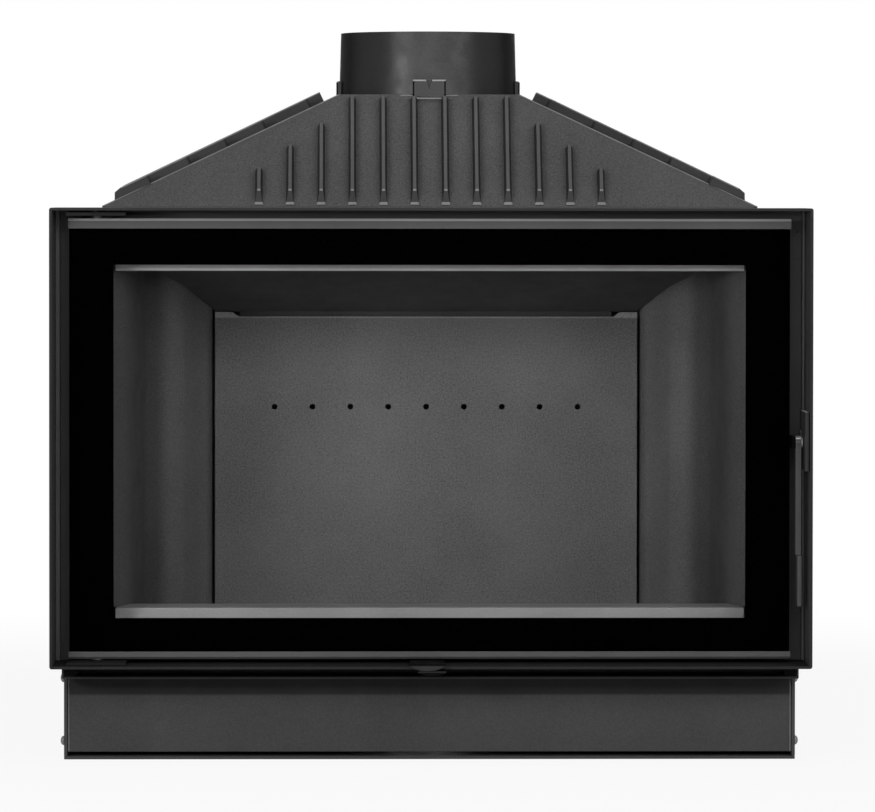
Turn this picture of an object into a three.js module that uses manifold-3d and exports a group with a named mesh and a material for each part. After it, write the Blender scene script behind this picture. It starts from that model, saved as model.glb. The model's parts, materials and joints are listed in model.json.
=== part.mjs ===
// Fireplace insert: a cast firebox with a ribbed hood and flue collar, behind a deep steel surround
// with a glass door. Millimetres, +Z up. The front faces -Y, and the origin is on the floor under the
// middle of the base.

import * as THREE from 'three';
import { mergeVertices } from 'three/addons/utils/BufferGeometryUtils.js';
import Module from 'manifold-3d';

const wasm = await Module();
wasm.setup();

// Clearances
const fitGap = 0.3; // between pieces that touch
const runGap = 0.6; // between pieces that slide or turn
const cutOver = 2; // how far a cut runs past the face that it cuts
const sink = 2; // how deep a rib or boss is rooted in its wall

// Base
const baseInset = 11.5; // each side, inside the outer side of the surround
const baseDepth = 344;
const baseHeight = 94;
const baseSheet = 3.5;
const basePanelRecess = 4;
const basePanelFoot = 4.5; // open strip between the floor plate and the front panel
const airInletRadius = 40;

// Deck plate between the base and the insert
const deckThick = 3;
const deckOverhang = 0.5; // beyond each side of the base
const deckFrontReach = 47;
const deckBackReach = 10;
const deckCornerRadius = 4;

// Bolts on the sides of the base
const boltHeadRadius = 5.4;
const boltHeadHeight = 3.6;
const boltShankRadius = 2.6;
const boltShankLength = 10;
const boltSegments = 20;
const boltDomeSteps = 4;
const boltSetback = 13; // behind the front edge of the side sheet
const boltFootHeight = 20;
const boltTopDrop = 3.6; // below the deck plate

// Surround
const surroundWidth = 840;
const surroundHeight = 507.5;
const surroundDepth = 89.7;
const surroundSheet = 3;
const surroundCorner = 2.6;
const surroundLift = 11.7; // above the deck plate

// Front plate
const frontPlateThick = 6;
const openingInset = 62; // inside the side walls of the surround
const openingFootRise = 38.6; // above the bottom of the door
const openingHeadDrop = 46.2; // below its top
const openingCorner = 6;
const apronInset = 20;
const leftLipThick = 4.6;
const rightLipThick = 2.5;
const lipReach = 14;
const screwHoleRadius = 1.3;
const screwHoleDepth = 4;
const screwHoleInset = 10.4; // from the outer side of the plate
const screwHoleDrop = 26.5; // from the top of the plate
const grooveDrop = 56;
const grooveHeight = 0.8;
const grooveDepth = 0.8;

// Cast shell of the firebox
const shellStep = 11.3; // inside of the side walls beyond the opening
const shellWall = 8;
const shellDrop = 9.9; // top of the walls below the top of the surround
const shellSetback = 4; // back of the front plate behind the front of the base
const wallRibHeight = 8;
const wallRibThick = 6;
const wallRibEndInset = 24;
const sideWallRibs = 6;
const backWallRibs = 10;
const floorLift = 11; // air channel between the deck plate and the cast floor
const floorThick = 8;
const floorFrontGap = 8; // room for the upper shutter in front of the cast floor

// Hood
const hoodFlangeThick = 8;
const hoodFlangeProud = 8;
const hoodSkirt = 3.4;
const hoodRise = 126;
const hoodFrontSetback = 2; // foot of the slope behind the front plate
const hoodTopSideMargin = 1.4; // beside the flue collar
const hoodTopFrontCut = 2; // the collar stands out over the front and back slopes
const hoodCorner = 9;
const hoodWall = 8;
const frontRibPitchShare = 0.0475; // of the hood's width
const hoodRibs = 12;
const hoodRibBase = 10;
const hoodRibCrest = 3.6;
const hoodRibHeight = 8.6;
const hoodRibFoot = 3; // foot of a front rib above the foot of the slope
const hoodRibNose = 2;
// Ends of the ribs as shares of the slope, from the middle outwards
const frontRibEndShares = [0.947, 0.947, 0.947, 0.705, 0.51, 0.304];
const sideRibPitchShare = 0.0788; // of the hood's depth
const sideRibBase = 11;
const sideRibCrest = 6;
const sideRibHeight = 12.8; // of the middle ribs
const sideRibHeightStep = 0.6; // lower with each rib outwards
const sideRibFoot = 15;
const sideRibNose = 7;
const sideRibNoseShare = 0.78; // height of the rib at its rounded foot
const sideRibEndShares = [0.94, 0.881, 0.689, 0.527, 0.369, 0.203];

// Flue collar
const collarRadius = 101.6;
const collarTaper = 1.9; // on the radius, over its height
const collarWall = 5;
const collarHeight = 71.2;
const collarSegments = 72;
const flueThroatMargin = 3;
const flueSetback = 12; // axis behind the middle of the shell
const lugWidth = 37.4;
const lugHeight = 16.6;
const lugThick = 3.5;
const lugFootDrop = 2.6; // below the top of the hood
const lugNotchWidth = 8.6;
const lugNotchDepth = 13;

// Hearth
const hearthLift = 41; // underside of the hearth plate above the deck plate
const hearthThick = 10;
const grateWidth = 240;
const grateDepth = 160;
const grateThick = 5;
const grateLedge = 7;
const grateRim = 14;
const grateBars = 9;
const grateBarThick = 10;
const panWall = 2;
const panGap = 6;
const panHeight = 19;
const panTaper = 6;

// Sill, lintel and linings
const sillHeight = 21;
const sillDepth = 61;
const sillThick = 6;
const sillEndGap = 3.5;
const lintelEndGap = 4;
const lintelDrop = 12.5; // below the top edge of the opening
const lintelBarHeight = 7;
const lintelBarDepth = 12;
const lintelFlange = 5;
const lintelFlangeHeight = 30;
const liningThick = 9;
const liningInset = 2; // behind the edge of the opening
const liningNarrowing = 102.6; // from front to back, each side
const liningCurveSteps = 27;
// Plan of a side lining, from its front edge: shares of its depth and of its narrowing
const liningBendShares = [
  [0, 0], [0.1, 0.118], [0.25, 0.205], [0.42, 0.27], [0.5, 0.325],
  [0.62, 0.52], [0.72, 0.69], [0.8, 0.78], [0.9, 0.885], [1, 1],
];
const liningHeadroom = 12; // below the hood
const pegReach = 12;
const pegHeight = 10;
const pegDepth = 16;
const pegSetback = 66;
const backLiningSideGap = 3.8;
const backLiningForward = 55; // its front before the outside of the back wall
const backLiningThick = 8;
const backLiningDrop = 118.5; // below the top of the walls
const backLugWidth = 27;
const backLugHeight = 5.4;
const backLugSlope = 7;
const airHoles = 9;
const airHoleSegments = 20;
const airHoleRadius = 3.5;
const airHolePitch = 44.3;
const airHoleDrop = 105.2; // below the top of the lining
const baffleThick = 12;
const baffleFrontSetback = 61; // behind the front plate
const baffleFrontDrop = 26.8; // underside below the top of the walls
const baffleSideGap = 1.4;

// Door
const doorLeftGap = 15.9;
const doorRightGap = 18; // room for the handle
const doorFootGap = 4.7; // above the bottom wall of the surround
const doorHeadGap = 9; // below its top wall
const doorRecess = 43; // front of the strips behind the rim
const stripHeight = 11;
const stripFootHeight = 8;
const stripLip = 4.2;
const stripWeb = 5.5;
const stripDepth = 23;
const stripChamfer = 2.5;
const glassThick = 4;
const glassSideGap = 0.8;
const enamelThick = 0.5;
const windowBorder = 49.7; // black border at the sides
const windowFoot = 45; // border at the bottom
const windowHead = 51.3; // border at the top
const tapeThick = 1;
const tapeWidth = 16;
const stileInset = 12.6;
const stileWidth = 33;
const railHead = 43;
const railFoot = 35;
const frameThick = 25;
const ropeThick = 10.2;
const ropeMargin = 4; // between the opening of the door frame and the rope

// Hinges
const hingeInset = 31.9; // pin from the left end of the door
const hingeSetback = 50; // pin behind the rim
const hingePlateWidth = 65.6;
const hingePlateFront = 12;
const hingePlateThick = 3.6;
const hingeFootPlateThick = 2.9;
const hingeHeadGap = 2.2; // above the upper plate
const pinRadius = 4;
const pinHeadRadius = 6;
const pinHeadThick = 1.4;
const bushRadius = 5.6;
const pinGap = 0.3;

// Handle
const handleHeight = 245.3; // spindle above the inside of the surround's bottom wall
const handleSetback = 35; // spindle behind the rim
const bracketReach = 4.1; // beyond the end of the door
const bracketPlate = 3.5;
const bracketHalf = 6.5;
const bracketBackInset = 5;
const spindleRadius = 4;
const spindleHeadRadius = 6.4;
const spindleHeadThick = 1.6;
const leverThick = 5.9;
const leverHub = 7.4;
const leverWidth = 12;
const leverLength = 124.3;
const leverNose = 34;
const leverNoseHeight = 8;
const leverNoseDrop = 4;
const gripLength = 57;
const gripWidth = 17;
const gripThick = 6.4;
const gripOffset = 1.5;
const gripCorner = 2;
const tongueThick = 2.4;
const tongueWidth = 8;
const tongueLength = 30;
const keeperThick = 4;
const keeperHeight = 65.2;
const keeperFront = 6;
const keeperRise = 34.5; // top of the keeper above the spindle
const keeperWallGap = 1;
const keeperPadHeight = 30;
const keeperPadDepth = 20;
const keeperToothReach = 1.2;
const keeperToothSetback = 60;
const keeperToothDepth = 10;
const keeperToothHeight = 24;

// Air controls
const upperTongueWidth = 38.4;
const lowerTongueWidth = 30.8;
const tongueReach = 10; // in front of the rim
const airLeverThick = 2.5;
const airLipThick = 2.5;
const upperLipDrop = 7.6;
const lowerLipDrop = 4.8;
const tongueSteps = 16;
const airTravel = 22; // each way: closed at one end and fully open at the other
const upperRestShift = -4.4;
const lowerRestShift = 0.6;
const lowerLeverLift = 7.6; // above the deck plate
const shutterHalf = 152;
const shutterThick = 2;
const shutterSlots = 3;
const shutterSlotPitch = 84;
const shutterSlotWidth = 40;
const shutterSlotHeight = 7;
const upperShutterHeight = 20;
const upperSlotRise = 14; // slots above the upper lever
const lowerShutterDepth = 34;
const lowerShutterSetback = 14;
const lowerRiserDepth = 8;

// Places that follow from the sizes above
const collarTopRadius = collarRadius - collarTaper;
const baseWidth = surroundWidth - baseInset * 2;
const deckWidth = baseWidth + deckOverhang * 2;
const baseFront = -baseDepth / 2;
const baseBack = baseDepth / 2;
const plateBack = baseFront + shellSetback;
const plateFront = plateBack - frontPlateThick;
const shellFront = plateBack + fitGap;
const recessY = plateFront - fitGap;
const rimY = recessY - surroundDepth;
const shellBack = baseBack + shellSetback;
const shellMiddle = (plateBack + shellBack) / 2;
const deckBottom = baseHeight;
const deckTop = deckBottom + deckThick;
const shellFoot = deckTop + fitGap;
const surroundFoot = deckTop + surroundLift;
const surroundTop = surroundFoot + surroundHeight;
const shellTop = surroundTop - shellDrop;
const wallInnerFoot = surroundFoot + surroundSheet;
const wallInnerTop = surroundTop - surroundSheet;
const wallInnerHalf = surroundWidth / 2 - surroundSheet;
const openingHalf = wallInnerHalf - openingInset;
const shellInnerHalf = openingHalf + shellStep;
const shellOuterHalf = shellInnerHalf + shellWall;
const floorBottom = deckTop + floorLift;
const floorTop = floorBottom + floorThick;
const hearthBottom = deckTop + hearthLift;
const hearthTop = hearthBottom + hearthThick;
const sillTop = hearthTop + fitGap + sillHeight;
const sillBack = shellFront + sillDepth;
const hoodBottom = shellTop + fitGap;
const slopeFoot = hoodBottom + hoodFlangeThick + hoodSkirt;
const hoodTop = slopeFoot + hoodRise;
const flueY = shellMiddle + flueSetback;
const doorBottom = wallInnerFoot + doorFootGap;
const doorTop = wallInnerTop - doorHeadGap;
const openingFoot = doorBottom + openingFootRise;
const openingTop = doorTop - openingHeadDrop;
const doorLeft = -wallInnerHalf + doorLeftGap;
const doorRight = wallInnerHalf - doorRightGap;
const doorFront = rimY + doorRecess;
const stripBack = doorFront + stripDepth;
const glassFront = doorFront + stripLip + fitGap;
const glassBack = glassFront + glassThick;
const enamelFront = glassBack + fitGap;
const enamelBack = enamelFront + enamelThick;
const tapeFront = enamelBack + fitGap;
const tapeBack = tapeFront + tapeThick;
const frameFront = tapeBack + fitGap;
const frameBack = frameFront + frameThick;
const paneFoot = doorBottom + stripWeb + fitGap;
const paneTop = doorTop - stripWeb - fitGap;
const windowBottom = doorBottom + windowFoot;
const windowTop = doorTop - windowHead;
const grateFront = shellMiddle - grateDepth / 2;
const hingeX = doorLeft + hingeInset;
const hingeY = rimY + hingeSetback;
const handleY = rimY + handleSetback;
const handleZ = wallInnerFoot + handleHeight;
const bracketX = doorRight + bracketReach;
const leverX = bracketX + fitGap;
const keeperX = wallInnerHalf - keeperWallGap - keeperThick;

// Materials
const finishes = {
  castIron: new THREE.MeshStandardMaterial({ color: 0x48494b, roughness: 0.62, metalness: 0.25 }),
  liningIron: new THREE.MeshStandardMaterial({ color: 0x55555a, roughness: 0.7, metalness: 0.15 }),
  frameSteel: new THREE.MeshStandardMaterial({ color: 0x2b2c2e, roughness: 0.5, metalness: 0.3 }),
  baseSteel: new THREE.MeshStandardMaterial({ color: 0x434446, roughness: 0.55, metalness: 0.3 }),
  stripSteel: new THREE.MeshStandardMaterial({ color: 0x5a5b5e, roughness: 0.45, metalness: 0.4 }),
  handleSteel: new THREE.MeshStandardMaterial({ color: 0x606164, roughness: 0.4, metalness: 0.6 }),
  boltSteel: new THREE.MeshStandardMaterial({ color: 0x76777a, roughness: 0.35, metalness: 0.8 }),
  glass: new THREE.MeshStandardMaterial({
    color: 0x202224, roughness: 0.1, transparent: true, opacity: 0.3,
  }),
  enamel: new THREE.MeshStandardMaterial({ color: 0x030303, roughness: 0.15, metalness: 0 }),
  rope: new THREE.MeshStandardMaterial({ color: 0x2a2a29, roughness: 0.95, metalness: 0 }),
};

const insert = new THREE.Group();

function addPiece(name, shape, finish) {
  const geometry = shape.isBufferGeometry ? shape : fromSolid(shape);
  geometry.computeVertexNormals();
  const mesh = new THREE.Mesh(geometry, finish);
  mesh.name = name;
  insert.add(mesh);
  return mesh;
}

// Solids
function plain(geometry) {
  const copy = geometry.clone();
  for (const attribute of Object.keys(copy.attributes)) {
    if (attribute !== 'position') {
      copy.deleteAttribute(attribute);
    }
  }
  return mergeVertices(copy.index ? copy.toNonIndexed() : copy, 1e-4);
}

function signedVolume(positions, corners) {
  let total = 0;
  for (let i = 0; i < corners.length; i += 3) {
    const [a, b, c] = [corners[i] * 3, corners[i + 1] * 3, corners[i + 2] * 3];
    const cross = [
      positions[b + 1] * positions[c + 2] - positions[b + 2] * positions[c + 1],
      positions[b + 2] * positions[c] - positions[b] * positions[c + 2],
      positions[b] * positions[c + 1] - positions[b + 1] * positions[c],
    ];
    total += positions[a] * cross[0] + positions[a + 1] * cross[1] + positions[a + 2] * cross[2];
  }
  return total;
}

function toSolid(shape) {
  if (!shape.isBufferGeometry) {
    return shape;
  }
  const merged = plain(shape);
  const vertProperties = new Float32Array(merged.attributes.position.array);
  const triVerts = new Uint32Array(merged.index.array);
  if (signedVolume(vertProperties, triVerts) < 0) {
    triVerts.reverse();
  }
  return new wasm.Manifold(new wasm.Mesh({ numProp: 3, vertProperties, triVerts }));
}

function fromSolid(solid) {
  const mesh = solid.getMesh();
  const geometry = new THREE.BufferGeometry();
  geometry.setAttribute('position', new THREE.BufferAttribute(new Float32Array(mesh.vertProperties), 3));
  geometry.setIndex(new THREE.BufferAttribute(new Uint32Array(mesh.triVerts), 1));
  return geometry;
}

function join(...shapes) {
  return shapes.map(toSolid).reduce((whole, next) => whole.add(next));
}

function cut(shape, ...tools) {
  return tools.map(toSolid).reduce((whole, tool) => whole.subtract(tool), toSolid(shape));
}

// Simple bodies
function block(x0, x1, y0, y1, z0, z1) {
  const box = new THREE.BoxGeometry(Math.abs(x1 - x0), y1 - y0, z1 - z0);
  return box.translate((x0 + x1) / 2, (y0 + y1) / 2, (z0 + z1) / 2);
}

function rodAlongX(radius, x0, x1, y, z, segments = 32) {
  const rod = new THREE.CylinderGeometry(radius, radius, Math.abs(x1 - x0), segments);
  return rod.rotateZ(Math.PI / 2).translate((x0 + x1) / 2, y, z);
}

function rodAlongY(radius, x, y0, y1, z, segments = 32) {
  const rod = new THREE.CylinderGeometry(radius, radius, y1 - y0, segments);
  return rod.translate(x, (y0 + y1) / 2, z);
}

function rodAlongZ(radius, x, y, z0, z1, segments = 32) {
  const rod = new THREE.CylinderGeometry(radius, radius, z1 - z0, segments);
  return rod.rotateX(Math.PI / 2).translate(x, y, (z0 + z1) / 2);
}

function outline(points) {
  return new THREE.Shape(points.map(([a, b]) => new THREE.Vector2(a, b)));
}

function rectangle(a0, a1, b0, b1, radius = 0) {
  if (radius === 0) {
    return outline([[a0, b0], [a1, b0], [a1, b1], [a0, b1]]);
  }
  const shape = new THREE.Shape();
  shape.moveTo(a0 + radius, b0);
  shape.lineTo(a1 - radius, b0);
  shape.absarc(a1 - radius, b0 + radius, radius, -Math.PI / 2, 0);
  shape.lineTo(a1, b1 - radius);
  shape.absarc(a1 - radius, b1 - radius, radius, 0, Math.PI / 2);
  shape.lineTo(a0 + radius, b1);
  shape.absarc(a0 + radius, b1 - radius, radius, Math.PI / 2, Math.PI);
  shape.lineTo(a0, b0 + radius);
  shape.absarc(a0 + radius, b0 + radius, radius, Math.PI, Math.PI * 1.5);
  return shape;
}

function extruded(shape, depth, curveSegments = 4) {
  return new THREE.ExtrudeGeometry(shape, { depth, bevelEnabled: false, curveSegments });
}

// The shape's first axis runs along X and its second along Z.
function prismAlongY(shape, y0, y1, curveSegments) {
  return extruded(shape, y1 - y0, curveSegments).rotateX(Math.PI / 2).translate(0, y1, 0);
}

// The shape's first axis runs along Y and its second along Z.
function prismAlongX(shape, x0, x1) {
  const turn = new THREE.Matrix4().makeBasis(
    new THREE.Vector3(0, 1, 0),
    new THREE.Vector3(0, 0, 1),
    new THREE.Vector3(1, 0, 0),
  );
  return extruded(shape, x1 - x0).applyMatrix4(turn).translate(x0, 0, 0);
}

// The shape lies in the XY plane.
function prismAlongZ(shape, z0, z1) {
  return extruded(shape, z1 - z0).translate(0, 0, z0);
}

// A closed body through rings of points, all with the same number of points.
function loft(rings) {
  const count = rings[0].length;
  const positions = rings.flat(2);
  const corners = [];
  for (let r = 0; r + 1 < rings.length; r += 1) {
    for (let i = 0; i < count; i += 1) {
      const a = r * count + i;
      const b = r * count + ((i + 1) % count);
      corners.push(a, b, b + count, a, b + count, a + count);
    }
  }
  const last = (rings.length - 1) * count;
  for (let i = 1; i + 1 < count; i += 1) {
    corners.push(0, i + 1, i, last, last + i, last + i + 1);
  }
  const geometry = new THREE.BufferGeometry();
  geometry.setAttribute('position', new THREE.Float32BufferAttribute(positions, 3));
  geometry.setIndex(corners);
  return geometry;
}

function ring(outer, hole) {
  outer.holes.push(hole);
  return outer;
}

function spread(count, pitch) {
  return Array.from({ length: count }, (_, i) => (i - (count - 1) / 2) * pitch);
}

// Base
function makeBase() {
  const half = baseWidth / 2;
  const sideFoot = baseSheet + fitGap;
  const sideTop = deckBottom - fitGap;
  const innerHalf = half - baseSheet - fitGap;
  addPiece('base_floor', block(-half, half, baseFront, baseBack, 0, baseSheet), finishes.baseSteel);
  for (const [name, side] of [['left', -1], ['right', 1]]) {
    const outer = side * half;
    const inner = side * (half - baseSheet);
    const sheet = block(outer, inner, baseFront, baseBack, sideFoot, sideTop);
    const holes = boltPlaces(side).map(([x, y, z]) => {
      return rodAlongX(boltShankRadius + fitGap, x - baseSheet * 2, x + baseSheet * 2, y, z);
    });
    addPiece(`base_${name}_side`, cut(sheet, ...holes), finishes.baseSteel);
  }
  const panelY = baseFront + basePanelRecess;
  addPiece(
    'base_front_panel',
    block(-innerHalf, innerHalf, panelY, panelY + baseSheet, baseSheet + basePanelFoot, sideTop),
    finishes.baseSteel,
  );
  const backSheet = block(-innerHalf, innerHalf, baseBack - baseSheet, baseBack, sideFoot, sideTop);
  const inletRadius = Math.min(airInletRadius, (sideTop - sideFoot) / 2 - baseSheet);
  const inletZ = (sideFoot + sideTop) / 2;
  const inlet = rodAlongY(inletRadius, 0, baseBack - baseSheet - cutOver, baseBack + cutOver, inletZ);
  addPiece('base_back_panel', cut(backSheet, inlet), finishes.baseSteel);
}

function boltPlaces(side) {
  const x = (side * baseWidth) / 2;
  const ys = [baseFront + boltSetback, baseBack - boltSetback];
  const zs = [boltFootHeight, deckBottom - boltTopDrop];
  return ys.flatMap((y) => zs.map((z) => [x, y, z]));
}

function makeBolts() {
  const names = ['front_lower', 'front_upper', 'back_lower', 'back_upper'];
  for (const [word, side] of [['left', -1], ['right', 1]]) {
    boltPlaces(side).forEach(([x, y, z], i) => {
      const under = deckOverhang + fitGap;
      const profile = [
        new THREE.Vector2(0, -boltShankLength),
        new THREE.Vector2(boltShankRadius, -boltShankLength),
        new THREE.Vector2(boltShankRadius, under),
        new THREE.Vector2(boltHeadRadius, under),
      ];
      for (let s = 1; s <= boltDomeSteps; s += 1) {
        const angle = (s / boltDomeSteps) * (Math.PI / 2);
        const radius = s === boltDomeSteps ? 0 : boltHeadRadius * Math.cos(angle);
        profile.push(new THREE.Vector2(radius, under + boltHeadHeight * Math.sin(angle)));
      }
      const bolt = new THREE.LatheGeometry(profile, boltSegments);
      bolt.rotateZ((-side * Math.PI) / 2).translate(x, y, z);
      addPiece(`base_bolt_${word}_${names[i]}`, toSolid(bolt), finishes.boltSteel);
    });
  }
}

function makeDeck() {
  const half = deckWidth / 2;
  const front = baseFront - deckFrontReach;
  const plate = prismAlongZ(
    rectangle(-half, half, front, shellBack + deckBackReach, deckCornerRadius), deckBottom, deckTop,
  );
  const slots = lowerSlots(0, deckBottom - cutOver, deckTop + cutOver);
  addPiece('deck_plate', cut(plate, ...slots), finishes.frameSteel);
}

// Surround and front plate
function makeSurround() {
  const half = surroundWidth / 2;
  const outer = rectangle(-half, half, surroundFoot, surroundTop, surroundCorner);
  const inner = rectangle(-wallInnerHalf, wallInnerHalf, wallInnerFoot, wallInnerTop);
  addPiece('surround', prismAlongY(ring(outer, inner), rimY, recessY), finishes.frameSteel);
}

function upperSlots(shift, y0, y1) {
  const z0 = wallInnerFoot + upperSlotRise;
  return spread(shutterSlots, shutterSlotPitch).map((x) => {
    const left = x + shift - shutterSlotWidth / 2;
    return block(left, left + shutterSlotWidth, y0, y1, z0, z0 + shutterSlotHeight);
  });
}

function lowerSlots(shift, z0, z1) {
  const y0 = shellFront + lowerShutterSetback + (lowerShutterDepth - shutterSlotHeight) / 2;
  return spread(shutterSlots, shutterSlotPitch).map((x) => {
    const left = x + shift - shutterSlotWidth / 2;
    return block(left, left + shutterSlotWidth, y0, y0 + shutterSlotHeight, z0, z1);
  });
}

function makeFrontPlate() {
  const half = surroundWidth / 2 - fitGap;
  const apron = surroundWidth / 2 - apronInset;
  const shape = outline([
    [-apron, shellFoot],
    [apron, shellFoot],
    [apron, surroundFoot],
    [half, surroundFoot],
    [half, surroundTop - fitGap],
    [-half, surroundTop - fitGap],
    [-half, surroundFoot],
    [-apron, surroundFoot],
  ]);
  ring(shape, rectangle(-openingHalf, openingHalf, openingFoot, openingTop, openingCorner));
  const [y0, y1] = [plateFront - cutOver, plateBack + cutOver];
  const leverHalf = upperTongueWidth / 2 + airTravel + runGap;
  const lowerHalf = lowerTongueWidth / 2 + airTravel + runGap;
  const upperLever = wallInnerFoot + runGap;
  const lowerLever = deckTop + lowerLeverLift;
  const cuts = [
    ...upperSlots(0, y0, y1),
    block(
      upperRestShift - leverHalf, upperRestShift + leverHalf, y0, y1,
      upperLever - runGap, upperLever + airLeverThick + runGap,
    ),
    block(
      lowerRestShift - lowerHalf, lowerRestShift + lowerHalf, y0, y1,
      lowerLever - runGap, lowerLever + airLeverThick + runGap,
    ),
  ];
  for (const side of [-1, 1]) {
    const x = side * (half - screwHoleInset);
    cuts.push(rodAlongY(screwHoleRadius, x, y0, plateFront + screwHoleDepth, surroundTop - screwHoleDrop));
  }
  const lips = [[-1, leftLipThick], [1, rightLipThick]].map(([side, thick]) => {
    const outer = side * (wallInnerHalf - fitGap);
    const inner = side * (wallInnerHalf - fitGap - thick);
    return block(
      outer, inner, plateFront - lipReach, plateBack, wallInnerFoot + fitGap, wallInnerTop - fitGap,
    );
  });
  const groove = block(
    -half - cutOver, half + cutOver, plateFront - cutOver, plateFront + grooveDepth,
    surroundTop - grooveDrop - grooveHeight, surroundTop - grooveDrop,
  );
  const plate = cut(prismAlongY(shape, plateFront, plateBack), groove, ...cuts);
  addPiece('front_plate', join(plate, ...lips), finishes.frameSteel);
}

// Cast shell
function makeShell() {
  const ribFoot = shellFoot + wallRibEndInset;
  const ribTop = shellTop - wallRibEndInset;
  for (const [name, side] of [['left', -1], ['right', 1]]) {
    const x0 = side * shellInnerHalf;
    const x1 = side * shellOuterHalf;
    const x2 = side * (shellOuterHalf + wallRibHeight);
    const root = side * (shellOuterHalf - sink);
    const wall = block(x0, x1, shellFront, shellBack, shellFoot, shellTop);
    const ribs = spread(sideWallRibs, (shellBack - shellFront) / (sideWallRibs + 1)).map((y) => {
      const ribFront = shellMiddle + y - wallRibThick / 2;
      return block(root, x2, ribFront, ribFront + wallRibThick, ribFoot, ribTop);
    });
    addPiece(`${name}_wall`, join(wall, ...ribs), finishes.castIron);
  }
  const inner = shellInnerHalf - fitGap;
  const backWall = block(-inner, inner, shellBack - shellWall, shellBack, shellFoot, shellTop);
  const backRibs = spread(backWallRibs, (inner * 2) / (backWallRibs + 1)).map((x) => {
    const left = x - wallRibThick / 2;
    return block(left, left + wallRibThick, shellBack - sink, shellBack + wallRibHeight, ribFoot, ribTop);
  });
  addPiece('back_wall', join(backWall, ...backRibs), finishes.castIron);
  const floorFront = plateBack + floorFrontGap;
  const floorBack = shellBack - shellWall - fitGap;
  const floor = block(-inner, inner, floorFront, floorBack, floorBottom, floorTop);
  const air = spread(shutterSlots, shutterSlotPitch).map((x) => {
    const y0 = shellFront + lowerShutterSetback + lowerShutterDepth / 2;
    return block(
      x - shutterSlotWidth / 2, x + shutterSlotWidth / 2, y0, y0 + shutterSlotHeight * 2,
      floorBottom - cutOver, floorTop + cutOver,
    );
  });
  addPiece('firebox_floor', cut(floor, ...air), finishes.castIron);
}

// Hood
function roundedRing(halfX, y0, y1, radius, z) {
  const steps = 4;
  const points = [];
  const corners = [
    [halfX - radius, y1 - radius, 0],
    [-halfX + radius, y1 - radius, 1],
    [-halfX + radius, y0 + radius, 2],
    [halfX - radius, y0 + radius, 3],
  ];
  for (const [x, y, quarter] of corners) {
    for (let s = 0; s <= steps; s += 1) {
      const angle = (quarter + s / steps) * (Math.PI / 2);
      points.push([x + radius * Math.cos(angle), y + radius * Math.sin(angle), z]);
    }
  }
  return points;
}

const hoodFootFront = plateBack + hoodFrontSetback;
const hoodFootBack = shellBack;
const hoodFootHalf = shellInnerHalf;
const hoodTopHalf = collarRadius + hoodTopSideMargin;
const hoodTopReach = collarRadius - hoodTopFrontCut;
const hoodTopFront = flueY - hoodTopReach;
const hoodTopBack = flueY + hoodTopReach;

function hoodOuter(grow) {
  const half = hoodFootHalf + grow;
  const front = hoodFootFront - grow;
  const back = hoodFootBack + grow;
  return loft([
    roundedRing(half, front, back, hoodCorner, hoodBottom),
    roundedRing(half, front, back, hoodCorner, slopeFoot + grow),
    roundedRing(hoodTopHalf + grow, hoodTopFront - grow, hoodTopBack + grow, hoodCorner, hoodTop + grow),
  ]);
}

function hoodInner() {
  const foot = slopeFoot - hoodWall / 2;
  const top = hoodTop - hoodWall;
  const side = hoodFootHalf - hoodWall;
  const topInset = hoodWall / 2;
  const topHalf = hoodTopHalf - topInset / 2;
  return loft([
    roundedRing(side, hoodFootFront + hoodWall, hoodFootBack - hoodWall, hoodCorner, hoodBottom - cutOver),
    roundedRing(side, hoodFootFront + hoodWall, hoodFootBack - hoodWall, hoodCorner, foot),
    roundedRing(topHalf, hoodTopFront + topInset, hoodTopBack - topInset, hoodCorner, top),
  ]);
}

// A tapered rib on a sloped face, which runs from (footOut, slopeFoot) up to (topOut, hoodTop). Out is the
// distance from the flue's axis towards the outside of that face; place turns (along, out, z) into XYZ.
function slopeRib(size, along, footOut, topOut, start, end, place) {
  const run = footOut - topOut;
  const slope = Math.hypot(run, hoodRise);
  const [ux, uz] = [-run / slope, hoodRise / slope];
  const [nx, nz] = [hoodRise / slope, run / slope];
  const at = (distance, lift, vertical) => {
    const out = footOut + ux * distance + (vertical ? 0 : nx * lift);
    const z = slopeFoot + uz * distance + (vertical ? lift / nz : nz * lift);
    return [out, z];
  };
  const rings = [];
  const addRing = (distance, height, vertical) => {
    const low = at(distance, -sink, vertical);
    const high = at(distance, height, vertical);
    rings.push([
      place(along - size.base / 2, ...low),
      place(along + size.base / 2, ...low),
      place(along + size.crest / 2, ...high),
      place(along - size.crest / 2, ...high),
    ]);
  };
  const noseEnd = start + (size.height * uz) / nz + size.nose;
  addRing(start, size.height * size.noseShare, true);
  addRing(noseEnd, size.height, false);
  addRing(end, size.height, false);
  return loft(rings);
}

function stepsFromMiddle(index) {
  return Math.floor(Math.abs(index - (hoodRibs - 1) / 2));
}

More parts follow.
